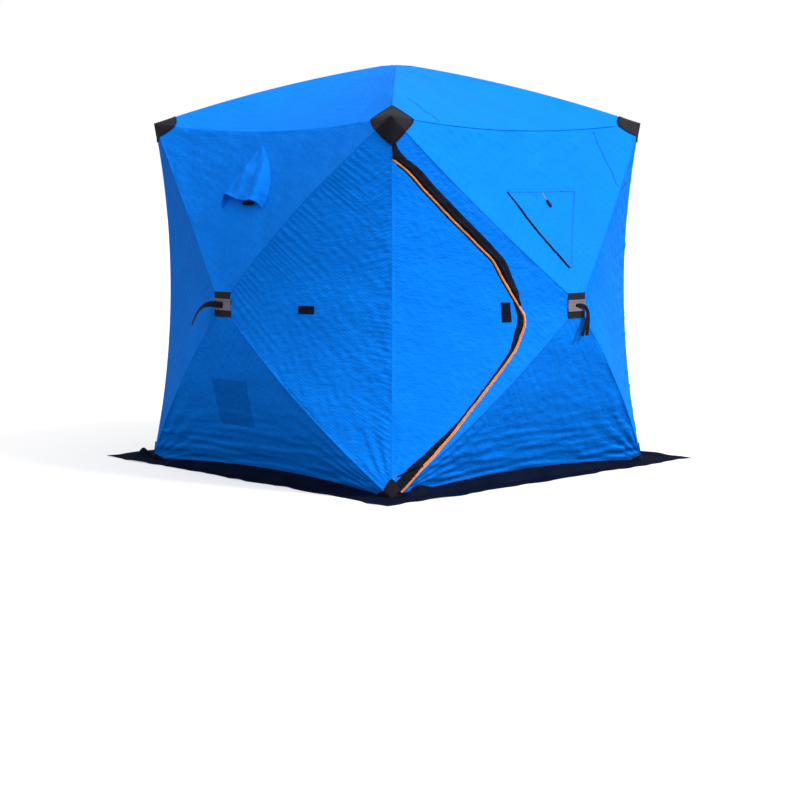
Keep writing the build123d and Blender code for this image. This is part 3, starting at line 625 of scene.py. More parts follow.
def moulded(name, colour, roughness=0.45):
    """Moulded plastic or painted metal with a fine grain, in object coordinates."""
    material, tree, shader = node_material(name, colour, roughness, 0.0, 0.3)
    place = tree.nodes.new("ShaderNodeTexCoord").outputs["Object"]
    grain = noise(tree, place, 700.0, 2.0)
    worn = noise(tree, place, 18.0, 4.0)
    share = math_node(tree, "POWER", worn, 2.5)
    worn_colour(tree, shader, colour, share, 1.5, 0.004)
    bump(tree, grain, shader, 0.2, 0.0004)
    return material


def hooks_and_loops(name, colour):
    """Hook-and-loop tape: a fuzzy face with fine rows."""
    material, tree, shader = node_material(name, colour, 0.95, 0.1, 0.1)
    maths = partial(math_node, tree)
    vector, x, y = size_map(tree)
    rows = maths("SINE", maths("MULTIPLY", y, 2600.0))
    fuzz = noise(tree, vector, 1400.0, 4.0)
    worn_colour(tree, shader, colour, fuzz, 2.2, 0.002)
    bump(tree, maths("ADD", maths("MULTIPLY", rows, 0.4), fuzz), shader, 0.6, 0.001)
    return material


blue_quilt = quilted("blue_quilt")
blue_plain = quilted("blue_plain", quilt=0.25)
# A darker copy of the blue quilt: painted shade where the pocket shows through the wall
blue_pocket_shade = quilted("blue_pocket_shade", shaded(BLUE), shaded(BLUE_LIGHT), shaded(BLUE_DARK))
black_cloth = coated("black_cloth", BLACK, sheen=0.04, gloss=0.08)
skirt_cloth = coated("skirt_cloth", SKIRT_BLACK, 0.8, 3120.0, 1.6, 0.0, 0.03)
cap_cloth = coated("cap_cloth", CAP_BLACK, 0.6, 2520.0, 2.2, 0.05)
webbing = coated("webbing", BLACK, 0.7, 1800.0, 1.7)
velcro = hooks_and_loops("hook_and_loop", BLACK)
orange = moulded("orange_zip", ORANGE, 0.42)
black_plastic = moulded("black_plastic", (0.0055, 0.0055, 0.008, 1))
grey_clip = moulded("grey_clip", GREY)
pole_wrap = moulded("pole_wrap", (0.03, 0.03, 0.033, 1), 0.35)
thread = coated("thread", (0.0025, 0.07, 0.36, 1), 0.8)
black_thread = coated("black_thread", (0.014, 0.014, 0.02, 1), 0.8)


# Fabric panels

def panel_grid(rows, columns):
    return np.meshgrid(np.linspace(0, 1, columns + 1), np.linspace(0, 1, rows + 1))


def flat_size(side, panel):
    """The flat cut's width and length, and its area: the panel's own, measured on the patch."""
    s, t = panel_grid(24, 24)
    p = side.point(panel, s, t)
    one = np.cross(p[1:, :-1] - p[:-1, :-1], p[:-1, 1:] - p[:-1, :-1])
    two = np.cross(p[1:, 1:] - p[1:, :-1], p[1:, 1:] - p[:-1, 1:])
    area = (np.linalg.norm(one, axis=-1).sum() + np.linalg.norm(two, axis=-1).sum()) / 2
    width = np.linalg.norm(np.diff(p[0], axis=0), axis=-1).sum()
    length = np.linalg.norm(np.diff(p[:, 12], axis=0), axis=-1).sum()
    return (float(width), float(length)), float(area)


def fabric_panel(side, panel, node):
    columns, rows = near_meshes.get((side.name, panel), plain_mesh)
    s, t = panel_grid(rows, columns)
    outer = cloth(side, panel, s, t)
    inner = cloth(side, panel, s, t, -fabric, (t < 1e-9).astype(float))
    obj = shell_object("cloth_" + node, outer, inner, blue_quilt, side.point(panel, s, t)[..., :2])
    placed(obj, nodes=[node])
    flat, area = flat_size(side, panel)


roof_names = {"bottom": "front", "top": "back", "left": "left", "right": "right"}
for side_name, side in sides.items():
    for panel in side.ends:
        if side is roof:
            fabric_panel(side, panel, "roof_%s_panel" % roof_names[panel])
        elif (side_name, panel) != ("front", "left"):
            fabric_panel(side, panel, "%s_%s_panel" % (side_name, panel))


# Seams over the poles: a felled band with a row of stitches down each side

seam_half_width = 0.009
seam_rise = 0.0009
stitch_pitch = 0.009
fine_pitch = 0.008
stitch_length = 0.0058
stitch_radius = 0.0009
stitch_faces = [(0, 1, 4), (1, 2, 4), (2, 3, 4), (3, 0, 4), (3, 2, 1, 0)]


def beside_pole(side, key, distance, t, rise):
    """Points at a distance from a pole, to one side of it or the other, on the cloth."""
    start = 0 if distance >= 0 else 1
    panel = next(name for name, ends in side.ends.items() if ends[start] == key)
    step = 0.01
    beyond_pole = side.point(panel, 0 * t + start + (step if start == 0 else -step), t)
    width = np.linalg.norm(beyond_pole - side.point(panel, 0 * t + start, t), axis=-1) / step
    return cloth(side, panel, start + distance / width, t, rise)


def stitch_mesh(name, rows, material):
    """Short raised stitches along rows, which are pairs of evenly spaced points and the way outwards."""
    vertices, faces = [], []
    for points, outwards in rows:
        for start, end in zip(points, points[1:]):
            run = end - start
            length = np.linalg.norm(run)
            if length < 1e-6:
                continue
            along = run / length * stitch_length / 2
            out = outwards * stitch_radius
            aside = np.cross(run / length, outwards) * stitch_radius
            middle = start + run / 2
            faces += [tuple(len(vertices) + k for k in face) for face in stitch_faces]
            vertices += [middle - along - out, middle - aside, middle + along - out, middle + aside,
                         middle + out * 1.1]
    placed(new_object(name, vertices, faces, material))


seam_under_cap = 0.012
cap_on_pole = {"near": 0.15, "roof": 0.11, "top": 0.097, "low": 0.05}
seam_profile = [(-1.0, 0.0), (-0.92, 1.0), (-0.45, 1.1), (0.0, 1.35), (0.45, 1.1), (0.92, 1.0), (1.0, 0.0)]
seam_stitches = (-0.66, 0.66)
seam_end = 0.998
seam_points = 90
door_foot_start = 0.2
# Two more rows of stitches below the left wall's lower right pole, in metres from it
extra_rows = (0.016, 0.03)


def seam_start(side, key):
    """How far from the corner a seam comes out from under its cap."""
    if (side, key) == (front, "low_left"):
        return door_foot_start
    if side is roof:
        return cap_on_pole["near" if key == "low_left" else "roof"] - seam_under_cap
    return cap_on_pole[key[:3]] - seam_under_cap


for side_name, side in sides.items():
    lines = []
    for key in side.corners:
        pole, t = side.pole(key)
        pole_t = np.linspace(np.interp(seam_start(side, key), run_lengths(pole), t), seam_end, seam_points)
        grid = np.stack([beside_pole(side, key, x * seam_half_width, pole_t, h * seam_rise)
                         for x, h in seam_profile], 1)
        across = np.array([x for x, _ in seam_profile]) * seam_half_width
        uv = np.stack(np.broadcast_arrays(across, run_lengths(grid[:, 3])[:, None]), -1)
        placed(strip_object("seam_%s_%s" % (side_name, key), grid, blue_plain, uv))
        lines += [beside_pole(side, key, x * seam_half_width, pole_t, 1.25 * seam_rise)
                  for x in seam_stitches]
    if side is left_wall:
        lines += [beside_pole(side, "low_right", distance, np.linspace(0.09, 0.9, seam_points), 0.0006)
                  for distance in extra_rows]
    stitch_mesh("stitches_" + side_name, [(spaced(line, stitch_pitch), side.axes[2]) for line in lines],
                thread)


# Door: a flap between its fold beside the corner and the curved zip

zip_gap = 0.0085
fold_gap = 0.0004
margin_inset = 0.001
hinge_strip_width = 0.02
zip_corners = [(-0.96, 1.612), (-0.8, 1.494), (-0.394, 1.073), (-0.261, 0.804), (-0.322, 0.671),
               (-0.762, 0.152), (-0.96, 0.052)]
zip_radii = [0.22, 0.15, 0.075, 0.11, 0.12]
hinge_strip_top = 1.54
hinge_strip_foot = 0.092


def rounded(corners, radii, pieces=14):
    """A line with its inner corners rounded by arcs."""
    points = [np.array(corners[0], float)]
    for before, corner, after, radius in zip(corners, corners[1:], corners[2:], radii):
        corner = np.array(corner, float)
        back = unit(np.array(before) - corner)
        on = unit(np.array(after) - corner)
        half = np.arccos(np.clip(back @ on, -1, 1)) / 2
        centre = corner + unit(back + on) * radius / sin(half)
        start = corner + back * radius / np.tan(half) - centre
        end = corner + on * radius / np.tan(half) - centre
        a, b = np.arctan2(start[1], start[0]), np.arctan2(end[1], end[0])
        turn = (b - a + pi) % (2 * pi) - pi
        for i in range(pieces + 1):
            angle = a + turn * i / pieces
            points.append(centre + radius * np.array([cos(angle), sin(angle)]))
    points.append(np.array(corners[-1], float))
    return np.array(points)


def shifted(line, amount):
    """The line moved to its right-hand side, which for the zip is outwards from the door when
    amount is negative."""
    run = directions(line)
    return line + np.stack([run[:, 1], -run[:, 0]], 1) * amount


zip_line = dense(rounded(zip_corners, zip_radii))


def u_at(line, v):
    """The u of a line that only falls, at heights v."""
    order = np.argsort(line[:, 1])
    return np.interp(v, line[order, 1], line[order, 0])


def edge_u(v):
    """The u of the door wall's left edge at heights v."""
    s = np.linspace(0, 1, 200)
    line = front.point("left", s, 0 * s)
    return np.interp(v, line[:, 1], line[:, 0])


upper_ridge = front.pole("top_left")[0][:, :2]
lower_ridge = front.pole("low_left")[0][:, :2]


def between_lines(name, left, right, low, high, columns, rows, body="shell"):
    """A piece of the door panel, row by row between two lines u(v)."""
    v = np.linspace(high, low, rows + 1)[:, None] + np.zeros(columns + 1)
    share = np.linspace(0, 1, columns + 1)[None, :]
    start = left(v[:, 0])
    end = np.maximum(right(v[:, 0]), start + 0.001)
    u = start[:, None] * (1 - share) + end[:, None] * share
    obj = sheet_on_wall("cloth_" + name, front, "left", np.stack([u, v], -1), 0.0, -fabric, blue_quilt)
    placed(obj, body, [name])


zip_inner = shifted(zip_line, zip_gap / 2)
zip_outer = shifted(zip_line, -zip_gap / 2)


def fold_u(v):
    return edge_u(v) + hinge_strip_width


def crossing(line, curve):
    """Lowest and highest height at which a line stands right of a curve."""
    right = line[line[:, 0] > curve(line[:, 1])]
    return right[:, 1].min(), right[:, 1].max()


flap_low, flap_high = crossing(zip_inner, lambda v: fold_u(v) + fold_gap)
gap_low, gap_high = crossing(zip_outer, fold_u)
between_lines("door_flap", lambda v: fold_u(v) + fold_gap, lambda v: u_at(zip_inner, v), flap_low,
              flap_high, 64, 176, "door")
between_lines("door_edge_strip", edge_u, fold_u, hinge_strip_foot, hinge_strip_top, 4, 120)


def margin_left(v):
    opened = (v > gap_low) & (v < gap_high)
    beside_strip = (v >= hinge_strip_foot) & (v <= hinge_strip_top)
    return np.where(opened, u_at(zip_outer, v), np.where(beside_strip, fold_u(v), edge_u(v)))


def upper_right(v):
    return np.where(v < hub_height + half_plate, -half_plate, u_at(upper_ridge, v))


def lower_right(v):
    return np.where(v > hub_height - half_plate, -half_plate, u_at(lower_ridge, v))


between_lines("door_upper_margin", margin_left, upper_right, hub_height, corner_height - margin_inset,
              48, 132)
between_lines("door_lower_margin", margin_left, lower_right, hem_height + margin_inset, hub_height,
              48, 132)


# Zip: a tape with coil teeth on the hut's side, and black bands beside it

band_thickness = 0.0012
band_folds = 0.0012


def ribbon(name, start, end, profile, material, slot, nodes=(), body="shell", seed=1, folds=0.0):
    """A band of cloth between two lines on the door wall. profile is (share across, rise) pairs."""
    field = ripples(seed, 0.22, 0.05, 10)
    flats, columns = [], []
    for share, rise in profile:
        line = start * (1 - share) + end * share
        wave = folds * max(0.0, rise - 0.002) / 0.008 * field(*line.T)
        flats.append(line)
        columns.append(along_wall(front, "left", line, rise + wave))
    obj = strip_object(name, np.stack(columns, 1), material, np.stack(flats, 1))
    placed(thickened(obj, band_thickness), body, nodes)


def band(name, v, near_edge, far_edge, profile, *rest):
    """A black band between two lines u at heights v."""
    ribbon(name, np.stack([near_edge, v], 1), np.stack([far_edge, v], 1), profile, black_cloth,
           "black_fabric", *rest)


def cut_line(line, low, high):
    """What of a line lies between two heights and right of the wall's left edge."""
    return line[(line[:, 1] > low) & (line[:, 1] < high) & (line[:, 0] > edge_u(line[:, 1]) + 0.002)]


# The zip's tape runs beside the gap, and at its foot goes straight on to the corner cap
tape_offset = zip_gap / 2 + 0.0026
tape_half_width = 0.0052
tape_foot = np.array([(-0.776, 0.134), (-0.797, 0.109), (-0.82, 0.082), (-0.843, 0.056), (-0.866, 0.03)])
beside_gap = shifted(zip_line, -tape_offset)
tape_line = dense(np.concatenate([beside_gap[beside_gap[:, 1] > 0.19], tape_foot]))
tape_line = smoothed(cut_line(tape_line, 0.025, 1.6), 12)
tape_top = tape_line[0, 1]
band_top = corner_height - 0.133 + 0.016


def tape_u(v):
    return u_at(tape_line, v)


# Upper band: on the hut's side, from under the top cap down to the nose. Above bend_height it
# runs free of the zip, in under the cap
nose_height = 0.868
bend_height = 1.536
upper_widths = [(nose_height, 0.008), (0.93, 0.033), (1.04, 0.049), (1.16, 0.061), (1.43, 0.059),
                (bend_height, 0.064)]
upper_far_edge = [(bend_height, -0.786), (1.563, -0.814), (1.589, -0.836), (1.62, -0.85)]
v = np.linspace(band_top, nose_height, 280)
near_edge = np.where(v > tape_top, edge_u(v) + 0.002, tape_u(v) + 0.0065)
width = np.interp(v, *zip(*upper_widths))
far_edge = np.where(v > bend_height, np.interp(v, *zip(*upper_far_edge)), tape_u(v) + width)
far_edge = np.maximum(far_edge, near_edge + 0.0015)
upper_profile = [(0.0, 0.0008), (0.0, 0.0045), (0.1, 0.0082), (0.24, 0.0092), (0.4, 0.0062), (0.54, 0.0058),
                 (0.7, 0.0078), (0.86, 0.0052), (0.97, 0.0035), (1.0, 0.0006)]
band("upper_zip_band", v, near_edge, far_edge, upper_profile, ["upper_zip_band"], "shell", 11, band_folds)

# Lower band: on the door, from the nose down, narrow in its middle
fold_to_band = 0.025
lower_top, lower_foot = 0.885, 0.11
lower_widths = [(0.1, 0.049), (0.17, 0.049), (0.2, 0.042), (0.25, 0.035), (0.3, 0.025), (0.37, 0.014),
                (0.45, 0.012), (0.52, 0.018), (0.62, 0.021), (0.68, 0.026), (0.74, 0.035), (0.8, 0.036),
                (0.845, 0.024), (lower_top, 0.012)]
v = np.linspace(lower_top, lower_foot, 240)
near_edge = u_at(zip_inner, v)
far_edge = np.minimum(tape_u(v) - np.interp(v, *zip(*lower_widths)), near_edge - 0.002)
far_edge = np.maximum(far_edge, fold_u(v) + fold_to_band)
lower_profile = [(0.0, 0.0006), (0.0, 0.004), (0.15, 0.008), (0.4, 0.0085), (0.7, 0.0055), (0.95, 0.0035),
                 (1.0, 0.0006)]
band("lower_zip_band", v, near_edge, far_edge, lower_profile, ["lower_zip_band"], "door", 12, band_folds)

# Under the door's lower edge the band goes on to the foot cap, on the hut
v = np.linspace(0.15, 0.028, 50)
near_edge = tape_u(v) - 0.004
far_edge = np.maximum(tape_u(v) - 0.049, edge_u(v) + 0.002)
beside_zip = np.where(v > gap_low, u_at(zip_outer, v) - 0.006, -1.0)
far_edge = np.minimum(np.maximum(far_edge, beside_zip), near_edge - 0.001)
foot_profile = [(0.0, 0.0006), (0.0, 0.0032), (0.2, 0.0044), (0.6, 0.0036), (0.95, 0.003), (1.0, 0.0006)]
band("zip_foot_band", v, near_edge, far_edge, foot_profile)

# Black cloth behind the gap
behind = zip_line[(zip_line[:, 1] > 0.06) & (zip_line[:, 1] < 1.56)]
behind = behind[behind[:, 0] > edge_u(behind[:, 1]) + 0.016]
ribbon("zip_underlap", shifted(behind, -0.012), shifted(behind, 0.012),
       [(0.0, -0.0068), (0.5, -0.0064), (1.0, -0.0068)], black_cloth, "black_fabric")

# The zip: a tape with a row of coil teeth on it
ribbon("zip_tape", shifted(tape_line, -tape_half_width), shifted(tape_line, tape_half_width),
       [(0.0, 0.0006), (0.12, 0.002), (0.5, 0.0026), (0.88, 0.002), (1.0, 0.0006)], orange, "orange_zip",
       ["zip_line"])
tooth = [(-1, -1, -1), (1, -1, -1), (1, 1, -1), (-1, 1, -1),
         (-0.6, -0.8, 1), (0.6, -0.8, 1), (0.6, 0.8, 1), (-0.6, 0.8, 1)]
tooth_faces = [(3, 2, 1, 0), (4, 5, 6, 7), (0, 1, 5, 4), (1, 2, 6, 5), (2, 3, 7, 6), (3, 0, 4, 7)]
tooth_pitch = 0.0042
tooth_length, tooth_width, tooth_height = 0.0013, 0.0034, 0.0012
out = front.axes[2]
steps = spaced(along_wall(front, "left", tape_line, 0.0036), tooth_pitch)
vertices, faces = [], []
for here, following in zip(steps, steps[1:]):
    run = unit(following - here)
    aside = np.cross(out, run)
    faces += [tuple(len(vertices) + k for k in face) for face in tooth_faces]
    vertices += [here + run * x * tooth_length + aside * y * tooth_width + out * z * tooth_height
                 for x, y, z in tooth]
teeth = new_object("zip_teeth", vertices, faces, orange)
teeth.data.polygons.foreach_set("use_smooth", [False] * len(teeth.data.polygons))
placed(teeth)


# Corner caps: black cloth, folded round each corner and hemmed

cap_lift = 0.0024
cap_swell = 0.0035
cap_hem = 0.0012
cap_thickness = 0.0022
piping_radius = 0.0021
# How far a rim bows outwards, as a share of its length
cap_bow = 0.04
roof_cap_bow = 0.085
hut_middle = np.array([0, 0, 0.9])
near_reach = {"edge": 0.155, "upright": 0.133, "wall_pole": 0.097, "roof_pole": 0.15}
far_reach = {"edge": 0.15, "upright": 0.094, "wall_pole": 0.097, "roof_pole": 0.11}
foot_reach = {"hem": 0.095, "upright": 0.092, "wall_pole": 0.05}
meetings = {"front_left": (("front", "left"), ("left", "right")),
            "front_right": (("right", "left"), ("front", "right")),
            "back_right": (("back", "left"), ("right", "right")),
            "back_left": (("left", "left"), ("back", "right"))}
roof_keys = {"front_left": "low_left", "front_right": "low_right", "back_right": "top_right",
             "back_left": "top_left"}


def share_for(side, panel, key, reach, along_edge):
    """The share s or t at which a seam of a panel is a given length from its corner."""
    shares = np.linspace(0, 0.5, 200)
    start = 0 if side.ends[panel][0] == key else 1
    if along_edge:
        points = side.point(panel, np.abs(start - shares), 0 * shares)
    else:
        points = side.point(panel, 0 * shares + start, shares)
    return float(np.interp(reach, run_lengths(points), shares))


def cap_fan(side, panel, key, on_edge, on_pole, others, cells=14):
    """Grid of a cap on one panel: rows go from the corner to the rim, columns from the panel's
    outer edge to its pole. The rim bows a little outwards between its ends."""
    first = side.ends[panel][0] == key
    s_reach = share_for(side, panel, key, on_edge, True)
    t_reach = share_for(side, panel, key, on_pole, False)
    share = np.linspace(0, 1, cells + 1)

    def place(stretch, a):
        s = stretch * (1 - a) * s_reach
        return side.point(panel, s if first else 1 - s, stretch * a * t_reach)

    ends = place(np.ones(2), np.array([0.0, 1.0]))
    chord = ends[1] - ends[0]
    corner = side.corners[key]
    out = (ends[0] + ends[1]) / 2 - corner
    out = unit(out - chord * (out @ chord) / (chord @ chord))
    bow = (roof_cap_bow if side is roof else cap_bow) * np.linalg.norm(chord)
    stretches = np.linspace(0.7, 2.2, 151)
    reaches = np.stack([(place(k + 0 * share, share) - ends[0]) @ out for k in stretches])
    wanted = bow * np.sin(pi * share)
    stretch = np.array([np.interp(wanted[i], reaches[:, i], stretches) for i in range(len(share))])
    stretch[0] = stretch[-1] = 1.0
    r, a = np.meshgrid(np.linspace(0, 1, cells + 1), share, indexing="ij")
    stretched = r * (1 + (stretch[None, :] - 1) * r)
    base = place(stretched, a).copy()
    uv = base[..., :2].copy()
    swell = cap_swell * np.sin(pi * a) * np.sin(pi * r) ** 0.7
    hem = cap_hem * (smooth(r, 0.84, 0.87) - smooth(r, 0.985, 1.0))
    base[..., 2] += swell + hem
    world = side.world(base)
    edge_side = beyond.get((side.name, panel))
    tip = (1 - r) ** 8
    rim_turn = (1 - a) ** 6
    direction = np.zeros(world.shape) + side.axes[2]
    for other in others:
        share_of = np.maximum(rim_turn, tip) if other.name == edge_side else tip
        direction = direction + share_of[..., None] * other.axes[2]
    grid = world + direction * cap_lift
    return (grid if first else grid[:, ::-1]), (uv if first else uv[:, ::-1])


def cap_object(name, fans, node):
    """One cap: its fans sewn together, with piping and stitches along the rims."""
    faces, count = [], 0
    for grid, _ in fans:
        faces += grid_faces(*grid.shape[:2], count)[1][:, [1, 2, 3, 0]].tolist()
        count += grid.shape[0] * grid.shape[1]
    points = np.concatenate([grid.reshape(-1, 3) for grid, _ in fans])
    uvs = np.concatenate([uv.reshape(-1, 2) for _, uv in fans])
    keys, merged, remap = {}, [], []
    for i, point in enumerate(points):
        key = tuple(np.round(point, 5))
        if key not in keys:
            keys[key] = len(merged)
            merged.append(i)
        remap.append(keys[key])
    kept = []
    for face in faces:
        face = [remap[i] for i in face]
        face = [v for i, v in enumerate(face) if v != face[i - 1]]
        if len(face) > 2:
            kept.append(face)
    obj = thickened(new_object(name, points[merged], kept, cap_cloth, uvs[merged]), cap_thickness)
    stitches = []
    for i, (grid, _) in enumerate(fans):
        lift = unit(np.cross(grid[-1, -1] - grid[-1, 0], grid[0, 0] - grid[-1, 0]))
        lift = lift if lift @ (grid[-1, 0] - hut_middle) > 0 else -lift
        stitches.append((spaced(grid[-2] * 0.35 + grid[-1] * 0.65 + lift * 0.003, fine_pitch), lift))
        piping = tube("%s_piping_%d" % (name, i + 1), grid[-1] + lift * 0.001, piping_radius, cap_cloth)
        placed(piping)
    stitch_mesh(name + "_stitches", stitches, black_thread)
    placed(obj, "shell", [node])


def corner_fans(corner, high):
    """The fans of one corner's cap: two on each side that meets there."""
    fans = []
    reach = near_reach if corner == "front_left" else far_reach
    meeting = [(walls[name], ("top_" if high else "low_") + hand) for name, hand in meetings[corner]]
    if high:
        meeting.append((roof, roof_keys[corner]))
    for side, key in meeting:
        others = [other for other, _ in meeting if other is not side]
        for panel, ends in side.ends.items():
            if key not in ends:
                continue
            if side is roof:
                reaches = (reach["edge"], reach["roof_pole"])
            elif high:
                reaches = (reach["edge" if panel == "top" else "upright"], reach["wall_pole"])
            else:
                reaches = (foot_reach["hem" if panel == "bottom" else "upright"], foot_reach["wall_pole"])
            fans.append(cap_fan(side, panel, key, *reaches, others))
    return fans


for corner in meetings:
    cap_object("top_cap_" + corner, corner_fans(corner, True), "top_corner_caps")
    cap_object("foot_cap_" + corner, corner_fans(corner, False), "bottom_corner_caps")


# Patches of hook-and-loop tape, and the pocket inside

def spread(corners, columns, rows):
    """A grid of places in a four-cornered outline given from its lower left corner,
    anticlockwise. Its rows go from the top down."""
    low_left, low_right, high_right, high_left = (np.array(c, float) for c in corners)
    a = np.linspace(0, 1, columns)[None, :, None]
    b = np.linspace(1, 0, rows)[:, None, None]
    return (low_left * (1 - a) + low_right * a) * (1 - b) + (high_left * (1 - a) + high_right * a) * b


def patch_object(name, side, panel, corners, rise, thickness, material, nodes=(), body="shell"):
    """A flat patch over a four-cornered outline."""
    obj = sheet_on_wall(name, side, panel, spread(corners, 17, 13), rise + thickness, rise, material)
    modifier = obj.modifiers.new("edge", "BEVEL")
    modifier.width = 0.0006
    modifier.segments = 2
    placed(obj, body, nodes)


def laid_strip(name, side, panel, corners, columns, rows, rise, material):
    """A thin layer over a four-cornered outline, that follows the cloth."""
    flat = spread(corners, columns, rows)
    placed(strip_object(name, along_wall(side, panel, flat, rise), material, flat))


def box_corners(left, low, right, high):
    return [(left, low), (right, low), (right, high), (left, high)]


patch_object("door_velcro", front, "left", box_corners(-0.365, 0.792, -0.323, 0.884), 0.0004, 0.0022,
             velcro, ["door_velcro_patch"], "door")
patch_object("wall_velcro", left_wall, "right", box_corners(0.434, 0.832, 0.507, 0.87), 0.0004, 0.0022,
             velcro, ["wall_velcro_patch"])
pocket = [(-0.205, 0.261), (0.044, 0.259), (0.086, 0.493), (-0.179, 0.491)]
patch_object("storage_pocket", left_wall, "bottom", pocket, -fabric - 0.004, 0.003, blue_plain,
             ["storage_pocket"])
# Where the pocket shows through the wall: painted shade, a darker copy of the blue quilt where the pocket
# inside keeps light from shining through
laid_strip("pocket_shade", left_wall, "bottom", pocket, 57, 53, 0.0009, blue_pocket_shade)


# Window: a flap that lies on the wall, a zip down its left side, and a toggle at its top

def flat_stitches(name, side, panel, lines, rise):
    """Rows of stitches along lines of (u, v) on a wall."""
    rows = [along_wall(side, panel, dense(line, 0.006), rise) for line in lines]
    stitch_mesh(name, [(spaced(row, fine_pitch), side.axes[2]) for row in rows], thread)


window = [(0.026, 1.03), (0.038, 1.03), (0.247, 1.395), (-0.21, 1.391)]
window_width, window_height = 0.457, 0.363
b, a = np.meshgrid(np.linspace(0, 1, 57), np.linspace(0, 1, 65), indexing="ij")
flat = spread(window, 65, 57)
from_edge = np.minimum(np.minimum(a, 1 - a) * (window_width * (1 - b) + 0.012),
                       np.minimum(b, 1 - b) * window_height)
fold_waves = ripples(77, 0.16, 0.045, 12, 0.35)(flat[..., 0], flat[..., 1])
puff = 0.0006 + 0.0016 * smooth(from_edge, 0.0, 0.006) + 0.0012 * fold_waves * smooth(from_edge, 0.01, 0.06)
flap = sheet_on_wall("window_flap_cloth", front, "top", flat, np.maximum(puff, 0.0005), 0.0002, blue_quilt)
placed(flap, nodes=["window_flap"])
flat_stitches("window_stitches", front, "top",
              [[(-0.196, 1.384), (0.236, 1.388)], [(-0.19, 1.378), (0.232, 1.382)],
               [(0.236, 1.388), (0.038, 1.052)], [(0.229, 1.388), (0.031, 1.054)],
               [(-0.232, 1.404), (0.262, 1.408)]], 0.0026)


def cord(name, side, panel, line, rise, radius):
    """A sewn edge in the thread's colour."""
    placed(tube(name, along_wall(side, panel, line, rise), radius, thread))


for name, line in (("top", [(-0.21, 1.393), (0.02, 1.392), (0.25, 1.396)]),
                   ("side", [(0.25, 1.396), (0.2, 1.32), (0.12, 1.19), (0.04, 1.05)])):
    cord("window_edge_" + name, front, "top", dense(line, 0.008), 0.0018, 0.0017)


def profiled(side, panel, line, profile):
    """A grid of points beside a line of (u, v), and its flat places. profile is (shift, rise) pairs."""
    flat = np.stack([shifted(line, x) for x, _ in profile], 1)
    return np.stack([along_wall(side, panel, shifted(line, x), h) for x, h in profile], 1), flat


def joining_seam(name, side, panel, line):
    """A seam between two cuts of cloth: a low ridge with stitches beside it."""
    line = dense(line, 0.006)
    grid, flat = profiled(side, panel, line, [(-0.009, 0.0), (-0.008, 0.002), (0.0, 0.0024), (0.001, 0.0)])
    placed(strip_object("seam_" + name, grid, blue_plain, flat))
    flat_stitches("stitches_" + name, side, panel, [shifted(line, -0.004)], 0.0026)
    cord("fold_" + name, side, panel, shifted(line, 0.001), 0.0008, 0.0013)


joining_seam("front_top", front, "top", [(0.537, 1.69), (0.54, 1.55), (0.54, 1.415)])
joining_seam("roof_front", roof, "bottom", [(-0.52, -0.61), (-0.519, -0.715), (-0.512, -0.818)])

window_zip = dense([(-0.216, 1.394), (-0.165, 1.318), (-0.11, 1.232), (-0.04, 1.122), (0.022, 1.036)])
taper = 0.55 + 0.45 * smooth(1.4 - window_zip[:, 1], 0.0, 0.1)[:, None]
coil_profile = [(-1.0, 0.2), (-0.7, 0.9), (0.0, 1.25), (0.7, 0.9), (1.0, 0.2)]
for name, half, rise, material, slot in (
        ("window_zip_tape", 0.0075, 0.0024, black_cloth, "black_fabric"),
        ("window_zip_coil", 0.0026, 0.0058, black_plastic, "black_plastic")):
    grid = np.stack([along_wall(front, "top", shifted(window_zip, x * half * taper), h * rise)
                     for x, h in coil_profile], 1)
    uv = np.stack([shifted(window_zip, x * half) for x, _ in coil_profile], 1)
    placed(thickened(strip_object(name, grid, material, uv), 0.001, -1.0))

tab_line = np.array([(0.029, 1.391), (0.032, 1.378), (0.035, 1.364), (0.038, 1.35)])
tab, tab_flat = profiled(front, "top", tab_line,
                         [(-0.0028, 0.0028), (-0.0014, 0.0042), (0.0014, 0.0042), (0.0028, 0.0028)])
placed(strip_object("window_tab", tab, grey_clip, tab_flat * 0))


def rounded_bar(name, start, end, radius, material):
    """A round-ended bar, thicker in its middle."""
    run = end - start
    length = np.linalg.norm(run)
    run = run / length
    aside = unit(np.cross(run, (0, 0, 1.0)))
    up = np.cross(aside, run)
    turns = np.linspace(0, 2 * pi, 17)[:-1]
    rows = []
    for x in np.linspace(0, 1, 13):
        size = radius * (1 - abs(2 * x - 1) ** 3.2) ** 0.5 * (0.86 + 0.14 * sin(pi * x))
        rows.append(start + run * length * x + np.outer(np.cos(turns), aside) * size
                    + np.outer(np.sin(turns), up) * size)
    grid = np.stack(rows)
    faces = grid_faces(*grid.shape[:2], wrap=True)[1][:, turned_round]
    placed(new_object(name, grid.reshape(-1, 3), faces, material))


toggle = on_cloth(front, "top", np.array([0.037, 0.049]), np.array([1.357, 1.32]), 0.0085)
rounded_bar("window_toggle", toggle[0], toggle[1], 0.007, black_plastic)
